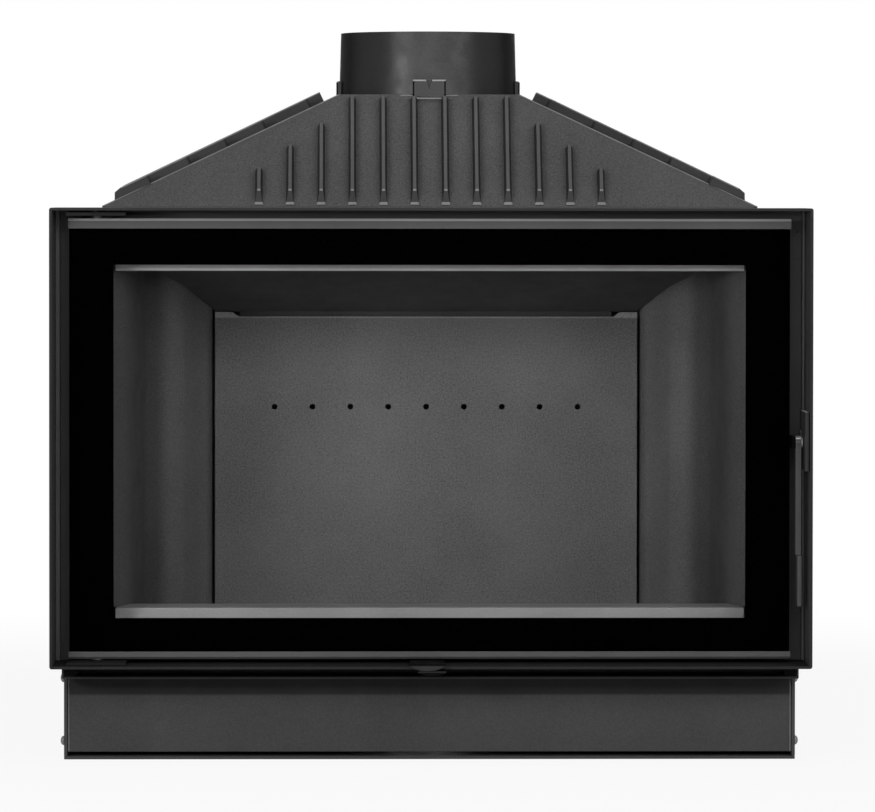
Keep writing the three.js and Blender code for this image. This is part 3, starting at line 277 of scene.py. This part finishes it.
def new_material(name):
    material = bpy.data.materials.new(name)
    material.use_nodes = True
    tree = material.node_tree
    place = Wire(tree, tree.nodes.new("ShaderNodeTexCoord").outputs["Object"])
    return material, tree.nodes["Principled BSDF"], place


def with_seams(share, place, seams):
    """Darkens a share along the seams of the hood's side ribs, at given distances up the slope."""
    half_width, darker = 0.001, 0.6
    way_up = (SIDE_FOOT - abs(place.part("X"))) * SIDE_OUT.z + (place.part("Z") - SLOPE_FOOT) * SIDE_OUT.x
    for seam in seams:
        share = share * (1 - way_up.near(seam, half_width) * darker)
    return share


def worn_and_highlit_edges(place, wear_and_highlight, width):
    """A share over 1 where the surface turns sharply: rubbed paint on edges and a painted highlight along
    them.
    """
    bent = place.node("Bevel", {"Radius": width * MM}, {"samples": 4})
    straight = place.node("NewGeometry", {}, output="Normal")
    flat_share = place.vector_maths("DOT_PRODUCT", {0: bent, 1: straight}, "Value")
    sharp, flat = 0.7, 0.985
    rubbed = place.noise(scale=55, roughness=0.6).ramp(0.25, 0.6, 0.7, 1.0)
    return 1 + flat_share.ramp(sharp, flat, wear_and_highlight, 0.0) * rubbed


def metal_finish(name, tone, rough, grain=0.3, mottle=0.1, metallic=0.0, specular=0.12, tint=1.0,
                 relief=0.0, relief_scale=900, crevice_shade=0.0, crevice_shade_reach=10, wear_and_highlight=0.0, wear_and_highlight_width=1.2,
                 streak=0.0, painted_light_along_depth=(), painted_light_along_height=(), seams=()):
    """Painted, cast or brushed metal.

    Its tone has clouds (mottle), fine grain and streaks, painted shade in crevices, and edges lightened by
    rubbed paint and a painted highlight, and painted light and shade in bands along the depth and the
    height: (from, to, change) and (from, to, share below, share above). Relief, the crevices' reach and
    the edges' width are in millimetres.
    """
    material, shader, place = new_material(name)
    cloud = place.noise(scale=7, detail=4).ramp(0.3, 0.7)
    speck = place.noise(relief_scale, detail=2, roughness=0.7)
    share = 1 + (cloud - 0.5) * (mottle * 2) + (speck - 0.5) * grain
    # Painted light and shade: the tone is raised or lowered in bands along the depth and the height.
    if painted_light_along_depth:
        depth = place.part("Y")
        share = share * sum((depth.ramp(low, high, 0.0, change) for low, high, change in painted_light_along_depth), 0.85)
    for stretch in painted_light_along_height:
        share = share * place.part("Z").ramp(*stretch)
    if seams:
        share = with_seams(share, place, seams)
    if streak:
        lines = place.stretch(1, 1, 90).noise(scale=14, detail=4, roughness=0.7)
        share = share * (1 + (lines - 0.5) * streak)
    # Painted shade: the tone is darkened where ambient occlusion finds a crevice, as shade falls there.
    if crevice_shade:
        own_piece = {"samples": 6, "only_local": True}
        shade_openness = place.node("AmbientOcclusion", {"Distance": crevice_shade_reach * MM}, own_piece, 1)
        deep, clear = 0.3, 0.95
        share = share * shade_openness.ramp(deep, clear, 1 - crevice_shade, 1.0)
    # Rubbed paint and painted highlight: the tone is lightened on edges.
    if wear_and_highlight:
        share = share * worn_and_highlit_edges(place, wear_and_highlight, wear_and_highlight_width)
    tone_here = place.vector_maths("SCALE", {0: grey(tone)[:3], "Scale": share}, 0)
    tone_here.feed(shader.inputs["Base Color"])
    place.noise(scale=40).ramp(0.3, 0.7, rough - 0.05, rough + 0.07).feed(shader.inputs["Roughness"])
    shader.inputs["Metallic"].default_value = metallic
    shader.inputs["Specular IOR Level"].default_value = specular
    shader.inputs["Specular Tint"].default_value = grey(tint)
    if relief:
        swell = place.noise(relief_scale / 5, detail=2) * 0.8
        height = place.noise(relief_scale, roughness=0.6) + swell
        bump = place.node("Bump", {"Strength": 0.6, "Distance": relief * MM, "Height": height})
        bump.feed(shader.inputs["Normal"])
    return material


def glass_finish(name):
    """Clear glass with a faint haze, which shows more at a slant."""
    material, shader, place = new_material(name)
    shader.inputs["Base Color"].default_value = grey(0.004)
    place.noise(scale=9).ramp(0.4, 0.8, 0.03, 0.06).feed(shader.inputs["Roughness"])
    slant = place.node("LayerWeight", {"Blend": 0.5}, output="Facing")
    slant.ramp(0.1, 1.0, 0.003, 0.6).feed(shader.inputs["Alpha"])
    return material


def rope_finish(name):
    material, shader, place = new_material(name)
    braid = place.noise(scale=420, detail=2, roughness=0.5)
    braid.ramp(0.3, 0.7).blend(grey(0.012), grey(0.05)).feed(shader.inputs["Base Color"])
    shader.inputs["Roughness"].default_value = 0.95
    bump = place.node("Bump", {"Strength": 0.8, "Distance": 0.8 * MM, "Height": braid})
    bump.feed(shader.inputs["Normal"])
    return material


# The relief of each kind of surface: its height in millimetres and its fineness
HOOD = {"relief": 0.2, "relief_scale": 620}
BARE_HOOD = {"relief": 0.15, "relief_scale": 620}
LINING = {"relief": 0.3, "relief_scale": 520}
LUG = {"relief": 0.1}
PAINT = {"relief": 0.08, "relief_scale": 1500}
COARSE_PAINT = {"relief": 0.08, "relief_scale": 700}
SMOOTH_PAINT = {"relief": 0.05, "relief_scale": 1500}
STEEL = {"relief": 0.04, "relief_scale": 1500}
FINE_STEEL = {"relief": 0.03, "relief_scale": 1500}

# Name, tone, roughness, surface, and what is particular
metal_finishes = [
    # Painted shade: the hood's strong crevice shade darkens its rib flanks and rib feet.
    ("cast_iron", 0.086, 0.55, HOOD,
     dict(grain=1.8, relief=0.25, crevice_shade=0.85, crevice_shade_reach=12, wear_and_highlight=1.0, wear_and_highlight_width=1.4)),
    # Painted highlight: a lighter copy of the hood's iron for the rib crests.
    ("rib_crest_highlight_iron", 0.098, 0.5, HOOD, dict(grain=0.5, wear_and_highlight=0.5)),
    # Painted shade: darker copies of the hood's iron for rib flanks, rib noses and the side ribs' ends.
    ("rib_flank_shade_iron", 0.026, 0.6, HOOD, dict(grain=0.5)),
    ("rib_nose_shade_iron", 0.055, 0.6, HOOD, dict(grain=0.5)),
    ("side_rib_shade_iron", 0.045, 0.55, HOOD, dict(grain=0.5, seams=(0.0593, 0.1077, 0.1538, 0.2011, 0.2572))),
    # Painted highlight: lighter copies of the hood's iron for upturned rib edges, rib feet, the collar
    # neck's top and the hips.
    ("painted_highlight_iron", 0.26, 0.45, BARE_HOOD, dict(grain=0.4)),
    ("hip_highlight_iron", 0.3, 0.5, BARE_HOOD, dict(grain=0.4)),
    ("collar_iron", 0.0285, 0.34, {},
     dict(grain=1.2, relief=0.03, metallic=0.85, specular=0.3, tint=0.1, streak=0.25, wear_and_highlight=0.6)),
    ("lug_iron", 0.07, 0.55, LUG, dict(grain=0.4, wear_and_highlight=1.2)),
    # Painted shade: near-black for the lugs' sides and the notch's left wall.
    ("lug_shade", 0.006, 0.6, LUG, dict(specular=0.02)),
    # Painted shade: the walls' crevices are darkened over a 40 mm reach.
    ("wall_iron", 0.07, 0.6, LINING, dict(grain=0.5, crevice_shade=0.7, crevice_shade_reach=40, wear_and_highlight=0.3)),
    # Painted light and shade in bands along the depth of the side linings.
    ("lining_iron", 0.125, 0.6, LINING,
     dict(grain=1.5, crevice_shade=0.2, wear_and_highlight=0.3,
          painted_light_along_depth=[(-0.14, -0.08, -0.2), (-0.005, 0.025, 0.62), (0.07, 0.12, 0.15)])),
    # Painted highlight: a light copy of the lining iron for the back lining's top edge.
    ("lining_top_highlight", 0.5, 0.5, LINING, dict(grain=0.4, relief=0.2)),
    # Painted shade across the top of the back lining, and painted light on its lugs.
    ("back_iron", 0.137, 0.6, LINING,
     dict(grain=1.6, crevice_shade=0.3, wear_and_highlight=0.3,
          painted_light_along_height=[(0.42, 0.49, 1.08, 0.86), (0.4856, 0.4876, 1.0, 2.1)])),
    ("baffle_iron", 0.075, 0.6, LINING, dict(grain=0.6, crevice_shade=0.3, wear_and_highlight=0.2)),
    ("lip_iron", 0.045, 0.6, LINING, dict(grain=0.6)),
    ("grate_iron", 0.1, 0.6, LINING, dict(grain=0.6, crevice_shade=0.5, wear_and_highlight=0.6)),
    ("lintel_steel", 0.42, 0.4, FINE_STEEL, dict(grain=0.15, wear_and_highlight=0.6, streak=0.1)),
    # Painted highlight: a light copy of the lintel steel for its underside.
    ("lintel_painted_highlight", 0.58, 0.38, FINE_STEEL, dict(grain=0.15, streak=0.1)),
    ("sill_steel", 0.36, 0.4, FINE_STEEL, dict(grain=0.5, relief_scale=800, wear_and_highlight=0.3, streak=0.1)),
    ("frame_paint", 0.05, 0.5, PAINT, dict(crevice_shade=0.2, wear_and_highlight=0.6)),
    # Painted shade: a darker copy of the frame paint for the surround's front rim, with a painted highlight
    # along its top, and a near-black copy for its bottom wall.
    ("rim_painted_light_and_shade", 0.017, 0.5, PAINT, dict(wear_and_highlight=0.5, painted_light_along_height=[(0.603, 0.612, 1.0, 1.4)])),
    ("ledge_painted_shade", 0.009, 0.5, PAINT, {}),
    ("plate_paint", 0.09, 0.5, PAINT, dict(crevice_shade=0.2, wear_and_highlight=0.6)),
    # Painted highlight: a lighter copy of the plate paint for the front plate's lips.
    ("plate_lip_highlight", 0.12, 0.45, PAINT, {}),
    ("base_paint", 0.058, 0.55, COARSE_PAINT, dict(grain=0.8, crevice_shade=0.3, wear_and_highlight=0.4)),
    # Painted shadow: the base panel is darkened under the deck plate.
    ("panel_paint_and_shadow", 0.058, 0.55, COARSE_PAINT,
     dict(grain=0.8, wear_and_highlight=0.4, painted_light_along_height=[(0.0702, 0.0738, 1.0, 0.34)])),
    # Painted highlight: a light copy for the base panel's front corner bevels.
    ("panel_edge_highlight", 0.45, 0.5, PAINT, {}),
    # Painted shade: near-black for the deck plate and its flanges; the deck's front face keeps a lighter
    # finish.
    ("deck_painted_shade", 0.006, 0.5, PAINT, dict(specular=0.03)),
    ("deck_edge", 0.029, 0.5, PAINT, dict(wear_and_highlight=0.6)),
    ("strip_paint", 0.096, 0.45, SMOOTH_PAINT, dict(grain=0.2, wear_and_highlight=0.8, streak=0.1)),
    ("head_paint", 0.08, 0.45, SMOOTH_PAINT, dict(grain=0.2, wear_and_highlight=0.8, streak=0.1)),
    # Painted highlight: a light steel finish for upturned edges of the lugs, the keeper and the door's head
    # strip, and for the notch's right wall.
    ("painted_highlight_steel", 0.43, 0.4, STEEL, dict(grain=0.2, streak=0.15)),
    ("black_enamel", 0.0004, 0.4, {}, dict(grain=0.2, specular=0.0)),
    ("hinge_paint", 0.004, 0.45, SMOOTH_PAINT, dict(wear_and_highlight=2.0, wear_and_highlight_width=0.8)),
    ("hinge_metal", 0.08, 0.4, STEEL, dict(metallic=0.3, tint=0.3, wear_and_highlight=0.5)),
    ("bracket_black", 0.0015, 0.5, SMOOTH_PAINT, dict(specular=0.02)),
    # Bare spindle metal with a painted highlight, also put on the lever's top as a painted highlight.
    ("spindle_metal_and_highlight", 0.4, 0.3, FINE_STEEL, dict(grain=0.2, metallic=0.5, tint=0.6)),
    ("handle_metal", 0.07, 0.36, STEEL, dict(grain=0.2, metallic=0.4, tint=0.4, wear_and_highlight=0.8)),
    ("keeper_paint", 0.03, 0.45, SMOOTH_PAINT, dict(wear_and_highlight=1.0)),
    ("lever_paint", 0.003, 0.4, SMOOTH_PAINT, dict(specular=0.03)),
    # Painted highlight: a lighter copy of the lever paint for the tongues' front edges.
    ("lever_edge_highlight", 0.032, 0.35, SMOOTH_PAINT, dict(grain=1.2, mottle=0.5, streak=0.6)),
    ("bolt_metal", 0.2, 0.35, STEEL, dict(metallic=0.8, tint=0.4, crevice_shade=0.3, wear_and_highlight=0.4)),
]
finish = {
    name: metal_finish(name, tone, rough, **{**surface, **more})
    for name, tone, rough, surface, more in metal_finishes
}
finish["door_glass"] = glass_finish("door_glass")
finish["seal_rope"] = rope_finish("seal_rope")

# Each solid's edge width in millimetres, and its finish
soft_edges = {
    "base_floor": (0.6, "base_paint"),
    "base_left_side": (0.5, "base_paint"),
    "base_right_side": (0.5, "base_paint"),
    "base_front_panel": (1.1, "panel_paint_and_shadow"),
    "base_back_panel": (0.5, "base_paint"),
    "deck_plate": (0.8, "deck_painted_shade"),
    "surround": (0.7, "frame_paint"),
    "front_plate": (0.6, "plate_paint"),
    "left_wall": (1.5, "wall_iron"),
    "right_wall": (1.5, "wall_iron"),
    "back_wall": (1.5, "wall_iron"),
    "firebox_floor": (1, "cast_iron"),
    "hood": (1.4, "cast_iron"),
    "flue_collar": (0.8, "collar_iron"),
    "hearth_plate": (1, "grate_iron"),
    "grate": (1, "grate_iron"),
    "ash_pan": (0.4, "base_paint"),
    "sill": (0.9, "sill_steel"),
    "lintel": (0.5, "lintel_steel"),
    "left_lining": (1.2, "lining_iron"),
    "right_lining": (1.2, "lining_iron"),
    "back_lining": (1.4, "back_iron"),
    "baffle": (1.5, "baffle_iron"),
    "door_head_strip": (1.6, "head_paint"),
    "door_foot_strip": (0.6, "strip_paint"),
    "door_glass": (0.3, "door_glass"),
    "door_glass_border": (0, "black_enamel"),
    "door_frame": (0.8, "frame_paint"),
    "glass_seal": (0.2, "seal_rope"),
    "door_seal": (2.5, "seal_rope"),
    "hinge_plate_upper": (0.4, "hinge_paint"),
    "hinge_plate_lower": (0.4, "hinge_paint"),
    "hinge_bush_upper": (0.3, "hinge_metal"),
    "hinge_bush_lower": (0.2, "hinge_metal"),
    "hinge_pin_upper": (0.4, "hinge_metal"),
    "hinge_pin_lower": (0.4, "hinge_metal"),
    "handle_bracket": (0.8, "bracket_black"),
    "handle_spindle": (0.5, "spindle_metal_and_highlight"),
    "handle_lever": (0.9, "handle_metal"),
    "handle_grip": (0.9, "handle_metal"),
    "handle_keeper": (0.6, "keeper_paint"),
    "upper_air_lever": (0.6, "lever_paint"),
    "upper_air_shutter": (0.3, "bolt_metal"),
    "lower_air_lever": (0.6, "lever_paint"),
    "lower_air_shutter": (0.3, "bolt_metal"),
}
for node in frame["nodes"]:
    if node.startswith("base_bolt"):
        soft_edges[node] = (0.3, "bolt_metal")


# Where a point lies on the collar and on the hood
def flue_reach(place):
    return math.hypot(place.x, place.y - FLUE_Y)


def over_face(place):
    """How far a point of the hood stands out of its front or back slope."""
    if place.y < FLUE_Y:
        return (place - Vector((0, FRONT_FOOT, SLOPE_FOOT))).dot(FRONT_OUT)
    return (place - Vector((0, BACK_FOOT, SLOPE_FOOT))).dot(BACK_OUT)


def over_side(place):
    """How far a point of the hood stands out of its side slopes."""
    return (Vector((abs(place.x), 0, place.z)) - Vector((SIDE_FOOT, 0, SLOPE_FOOT))).dot(SIDE_OUT)


def on_lug(place):
    return flue_reach(place) > LUG_REACH


def in_notch(place):
    return place.y < FRONT_LUG and abs(place.x) < NOTCH_HALF


def on_rib(place):
    return over_face(place) > RIB_START and place.z > SLOPE_FOOT + ON_SLOPE and over_side(place) < ON_SLOPE


def on_crest(place):
    return on_rib(place) and over_face(place) > RIB_CREST


def on_side_rib(place):
    return over_side(place) > RIB_START and place.z > SLOPE_FOOT + ON_SLOPE


def on_hip(place):
    return over_face(place) < ON_SLOPE and over_side(place) < ON_SLOPE and place.z > SLOPE_FOOT


def over_tongue(middle, along, length):
    """The upper edge of the upper lever's tongue, or where the two tongues meet."""
    high = middle.z > UPPER_TONGUE_TOP or TONGUES_MEET[0] < middle.z < TONGUES_MEET[1]
    return middle.y < TONGUE_BACK and high and abs(along.z) < 0.3


# Wider bevels, in millimetres, with their steps: m is an edge's middle, d its direction, long its length
first_bevels = {
    "base_front_panel": [
        (1.8, 1, lambda m, d, long: abs(d.z) > 0.9 and m.y < PANEL_FRONT and abs(m.x) > PANEL_END),
    ],
    "upper_air_lever": [(3.2, 1, over_tongue)],
    "lower_air_lever": [(1.2, 1, over_tongue)],
    "hood": [
        (1.3, 1, lambda m, d, long: over_side(m) > SIDE_RIB_EDGE and abs(d.y) < 0.3 and long > 20 * MM),
        (1.1, 1, lambda m, d, long: over_face(m) > NOSE_EDGE and abs(d.x) > 0.9 and m.z < NOSE_EDGE_TOP),
    ],
    "flue_collar": [
        (2, 1, lambda m, d, long: abs(d.z) > 0.9 and long > 12 * MM and flue_reach(m) > LUG_CORNERS),
        (1.6, 1, lambda m, d, long: abs(d.z) < 0.1 and flue_reach(m) > LUG_TOP_EDGES and m.z > LUG_TOP),
    ],
}

# Finishes of single faces: c is a face's centre and n its normal. A later line goes over an earlier one.
SQUARE_ON = 0.965
TURNED = 0.2
second_finishes = {
    "flue_collar": [
        # Painted highlight on the lugs' tops and the notch's right wall; painted shade on the lugs' sides
        # and the notch's left wall.
        ("lug_iron", lambda c, n: on_lug(c)),
        ("painted_highlight_steel", lambda c, n: on_lug(c) and n.z > 0.4),
        ("lug_shade", lambda c, n: on_lug(c) and abs(n.z) < 0.3 and min(abs(n.x), abs(n.y)) > 0.35),
        ("lug_shade", lambda c, n: in_notch(c) and n.x > 0.5),
        ("painted_highlight_steel", lambda c, n: in_notch(c) and n.x < -0.5),
    ],
    "hood": [
        # Painted shade on rib flanks, rib noses, side-rib ends and inward side-rib bevels; painted
        # highlight on crests, the crests' lower edges, outward side-rib bevels and hips.
        ("rib_flank_shade_iron", lambda c, n: on_rib(c) and abs(n.x) > 0.35),
        ("rib_nose_shade_iron", lambda c, n: on_rib(c) and abs(n.y) > 0.95),
        ("rib_crest_highlight_iron", lambda c, n: on_crest(c) and abs(n.x) < 0.5),
        ("painted_highlight_iron", lambda c, n: on_crest(c) and c.z < NOSE_TOP and 0.15 < n.z < 0.5),
        ("side_rib_shade_iron", lambda c, n: on_side_rib(c) and abs(n.y) > SQUARE_ON),
        ("painted_highlight_iron", lambda c, n: on_side_rib(c) and TURNED < abs(n.y) < SQUARE_ON and n.z > 0.25
         and n.x * c.x > 0),
        ("rib_flank_shade_iron", lambda c, n: on_side_rib(c) and TURNED < abs(n.y) < SQUARE_ON and n.x * c.x < 0),
        ("hip_highlight_iron", lambda c, n: on_hip(c) and abs(n.x) > 0.3 and abs(n.y) > 0.12 and n.z > 0.3),
    ],
    # Painted highlight on the base panel's front corner bevels.
    "base_front_panel": [("panel_edge_highlight", lambda c, n: abs(n.x) > 0.3 and n.y < -0.3)],
    # The deck's front face keeps a lighter finish than its painted-shade top.
    "deck_plate": [("deck_edge", lambda c, n: n.y < -0.3)],
    # Painted highlight on the front edges of the air levers' tongues.
    "upper_air_lever": [("lever_edge_highlight", lambda c, n: -0.3 < n.z < 0.2 and c.y < TONGUE_FACE)],
    "lower_air_lever": [("lever_edge_highlight", lambda c, n: 0.3 < n.z < 0.95 and c.y < TONGUE_FACE)],
    # Painted highlight on the front plate's lips.
    "front_plate": [("plate_lip_highlight", lambda c, n: c.y < PLATE_LIP_BACK and n.y < -0.3)],
    "handle_spindle": [("bracket_black", lambda c, n: c.x < SPINDLE_BARE_FROM)],
    "handle_lever": [
        # Painted highlight on the top of the lever.
        ("spindle_metal_and_highlight", lambda c, n: c.z > LEVER_EYE and (n.z > 0.3 or c.z > LEVER_EYE_TOP)),
    ],
    # Painted highlight on the keeper's top.
    "handle_keeper": [("painted_highlight_steel", lambda c, n: n.z > 0.5)],
    # Painted highlight on the back lining's top edge.
    "back_lining": [("lining_top_highlight", lambda c, n: c.z > LINING_TOP and n.z > 0.2)],
    "surround": [
        # Painted shade on the surround's front rim, with a painted highlight along its top, and painted
        # shade on its bottom wall.
        ("rim_painted_light_and_shade", lambda c, n: n.y < -0.5),
        ("ledge_painted_shade", lambda c, n: n.z > 0.7 and c.z < LEDGE_TOP),
    ],
    # Painted highlight on the head strip's upper edge.
    "door_head_strip": [("painted_highlight_steel", lambda c, n: n.z > 0.15 and c.y < HEAD_STRIP_BACK)],
    # Painted highlight along the lintel's underside.
    "lintel": [("lintel_painted_highlight", lambda c, n: n.z < -0.15)],
}
for node, (width, name) in soft_edges.items():
    piece = from_solid(node, width, finish[name], first_bevels.get(node, ()))
    for other, chosen in second_finishes.get(node, ()):
        second_finish(piece, other, chosen)


# Pieces made here, in metres
def new_block(name, low, high):
    """A block between two corners, to be shaped in edit mode."""
    low, high = Vector(low), Vector(high)
    bpy.ops.object.select_all(action="DESELECT")
    bpy.ops.mesh.primitive_cube_add(size=1, location=(low + high) / 2)
    block = bpy.context.object
    block.name = name
    block.scale = high - low
    bpy.ops.object.transform_apply(location=True, rotation=True, scale=True)
    return block


def make_baffle_lip():
    """The turned-down rear edge of the baffle, seen through the slot over the back lining."""
    half_width, front, back, foot, top = 0.2175, 0.1292, 0.1322, 0.482, 0.4975
    under = 0.49
    lip = new_block("baffle_lip", (-half_width, front, foot), (half_width, back, top))
    bevel_where(lip, 1.2, 2, lambda middle, along, length: abs(along.x) > 0.9 and middle.z < under)
    soften(lip, 0.3)
    settle(lip, "baffle_lip", body_of_node["baffle"], finish["lip_iron"])


def make_rib_feet():
    """The flared foot at the lower end of every front and back rib of the hood."""
    half_width, front, back, foot, top = 0.0052, -0.1674, -0.1612, 0.6194, 0.6226
    back_shift = 0.0108
    first = new_block("rib_foot", (-half_width, front, foot), (half_width, back, top))
    pick(first, "FACE", lambda centre, normal: normal.z > 0.5)
    bpy.ops.transform.resize(value=(0.8, 0.75, 1), center_override=(0, back, top))
    leave_edit()
    soften(first, 0.7)
    rows = [(RIB_PITCH * (i - (RIBS - 1) / 2), side) for side in ("front", "back") for i in range(RIBS)]
    for number, (x, side) in enumerate(rows, 1):
        piece = first.copy()
        piece.data = first.data.copy()
        bpy.context.scene.collection.objects.link(piece)
        piece.location = (x, 0, 0)
        if side == "back":
            piece.location.y = back_shift
            piece.rotation_euler.z = math.pi
        name = "rib_foot_%02d" % number
        # Painted highlight: the feet take the lighter highlight copy of the hood's iron.
        settle(piece, name, body_of_node["hood"], finish["painted_highlight_iron"])
    bpy.data.objects.remove(first)


def make_collar_neck():
    """The cast neck round the foot of the flue collar, lowered under the front lug."""
    radius, height, top, wall = 0.1076, 0.0053, 0.7438, 0.0045
    lug_half, lug_front, lowered = 0.0195, -0.08, 0.003
    outer, upper = 0.103, 0.74
    bpy.ops.object.select_all(action="DESELECT")
    bpy.ops.mesh.primitive_cylinder_add(
        vertices=96, radius=radius, depth=height, location=(0, FLUE_Y, top - height / 2)
    )
    neck = bpy.context.object
    bpy.ops.object.transform_apply(location=True, rotation=True, scale=True)
    pick(neck, "FACE", lambda centre, normal: normal.z > 0.5)
    bpy.ops.transform.resize(value=(0.98, 0.98, 1), center_override=(0, FLUE_Y, top))
    leave_edit()
    pick(neck, "FACE", lambda centre, normal: abs(normal.z) > 0.9)
    bpy.ops.mesh.inset(thickness=wall)
    bpy.ops.mesh.bridge_edge_loops()
    leave_edit()
    pick(neck, "VERT", lambda place: abs(place.x) < lug_half and place.y < lug_front and place.z > upper)
    bpy.ops.transform.translate(value=(0, 0, -lowered))
    leave_edit()
    bevel_where(neck, 1.5, 2, lambda middle, along, length: abs(along.z) < 0.3 and middle.z > upper
                and flue_reach(middle) > outer)
    soften(neck, 0.2)
    settle(neck, "collar_neck", body_of_node["flue_collar"], finish["cast_iron"])
    # Painted highlight on the neck's upturned top.
    second_finish(neck, "painted_highlight_iron", lambda centre, normal: normal.z > 0.5)


def make_deck_flanges():
    """The upturned sides of the deck plate, folded in at the front."""
    inside, outside, front, back, foot, top = 0.4068, 0.4088, -0.2175, 0.185, 0.0945, 0.1084
    fold, fold_reach, outer = -0.2155, 0.014, 0.4064
    for side, name in ((-1, "deck_flange_left"), (1, "deck_flange_right")):
        low_x, high_x = sorted((side * inside, side * outside))
        flange = new_block(name, (low_x, front, foot), (high_x, back, top))
        pick(flange, "FACE", lambda centre, normal: True)
        bpy.ops.mesh.bisect(plane_co=(0, fold, 0), plane_no=(0, 1, 0))
        leave_edit()
        pick(flange, "FACE", lambda centre, normal: normal.x * side < -0.5 and centre.y < fold)
        bpy.ops.mesh.extrude_region_move(TRANSFORM_OT_translate={"value": (-side * fold_reach, 0, 0)})
        leave_edit()
        soften(flange, 0.4)
        # Painted shade: the flanges are near-black, with the frame's paint on their outer faces.
        settle(flange, name, body_of_node["deck_plate"], finish["deck_painted_shade"])
        second_finish(flange, "frame_paint", lambda c, n: abs(c.x) > outer and abs(n.z) < 0.9)


make_baffle_lip()
make_rib_feet()
make_collar_neck()
make_deck_flanges()


# Stage, camera and light
def seen_plainly(tree):
    """1 for what the eye, a gloss or a pane of glass sees, 0 for what only lights the object."""
    path = tree.nodes.new("ShaderNodeLightPath")
    eye = Wire(tree, path.outputs["Is Camera Ray"])
    gloss = Wire(tree, path.outputs["Is Glossy Ray"])
    pane = Wire(tree, path.outputs["Is Transmission Ray"])
    return eye.larger(gloss.larger(pane))


def make_world(level):
    """White where it is seen, and a grey of a given level where it lights."""
    world = bpy.data.worlds.new("studio")
    bpy.context.scene.world = world
    world.use_nodes = True
    background = world.node_tree.nodes["Background"]
    seen_plainly(world.node_tree).blend(grey(level), grey(1.0)).feed(background.inputs["Color"])
    background.inputs["Strength"].default_value = 1.0


def make_floor(near, far, near_white):
    """A pale floor that keeps the object's shadow and turns white from near to far, in metres."""
    bpy.ops.mesh.primitive_plane_add(size=16, location=(0, 0, -0.5 * MM))
    floor = bpy.context.object
    floor.name = "studio_floor"
    paint, shader, place = new_material("studio_floor")
    shader.inputs["Base Color"].default_value = grey(0.86)
    shader.inputs["Roughness"].default_value = 0.9
    shader.inputs["Specular IOR Level"].default_value = 0.1
    tree = paint.node_tree
    reach = place.vector_maths("LENGTH", {0: place}, "Value")
    white_share = reach.ramp(near, far, near_white, 1.0) * seen_plainly(tree)
    glow = place.node("Emission", {})
    mixed = place.node("MixShader", {0: white_share, 1: Wire(tree, shader.outputs[0]), 2: glow})
    mixed.feed(tree.nodes["Material Output"].inputs["Surface"])
    floor.data.materials.append(paint)


def softbox(name, azimuth, distance, height, width, depth, power):
    """A lamp aimed at the middle of the object's front. Azimuth is from straight ahead, to the right."""
    turn = math.radians(azimuth)
    middle = Vector((0, -0.17, 0.4))
    place = Vector((math.sin(turn) * distance, middle.y - math.cos(turn) * distance, height))
    lamp = bpy.data.lights.new(name, "AREA")
    lamp.shape = "RECTANGLE"
    lamp.size = width
    lamp.size_y = depth
    lamp.energy = power
    holder = bpy.data.objects.new(name, lamp)
    bpy.context.scene.collection.objects.link(holder)
    holder.location = place
    holder.rotation_euler = (middle - place).to_track_quat("-Z", "Y").to_euler()


make_world(level=0.12)
make_floor(near=0.9, far=2.2, near_white=0.91)
softbox("key_light", azimuth=-37, distance=2.4, height=0.72, width=0.7, depth=0.3, power=15.8)
softbox("front_light", azimuth=16, distance=2.4, height=1.1, width=4.2, depth=0.8, power=36)
softbox("top_light", azimuth=0, distance=1.0, height=3.4, width=1.6, depth=1.0, power=12)

PICTURE_WIDTH = 875  # pixels
FOCAL_LENGTH = 5463.3  # pixels
SENSOR = 36  # millimetres
CAMERA_AWAY = 6.0  # in front of the rim
TILT_DOWN, ROLL, TURN = 1.411, -0.058, -1.011  # degrees
view = bpy.data.cameras.new("photo_view")
view.sensor_width = SENSOR
view.lens = FOCAL_LENGTH * SENSOR / PICTURE_WIDTH
view.shift_x = 0.0007
view.shift_y = -0.09215
view.clip_start = 0.1
view.clip_end = 100
camera = bpy.data.objects.new("photo_view", view)
bpy.context.scene.collection.objects.link(camera)
camera.location = (-0.1003, RIM - CAMERA_AWAY, 0.6351)
camera.rotation_euler = Euler([math.radians(v) for v in (90 - TILT_DOWN, ROLL, TURN)], "XYZ")
bpy.context.scene.camera = camera
bpy.context.scene.view_settings.view_transform = "Standard"
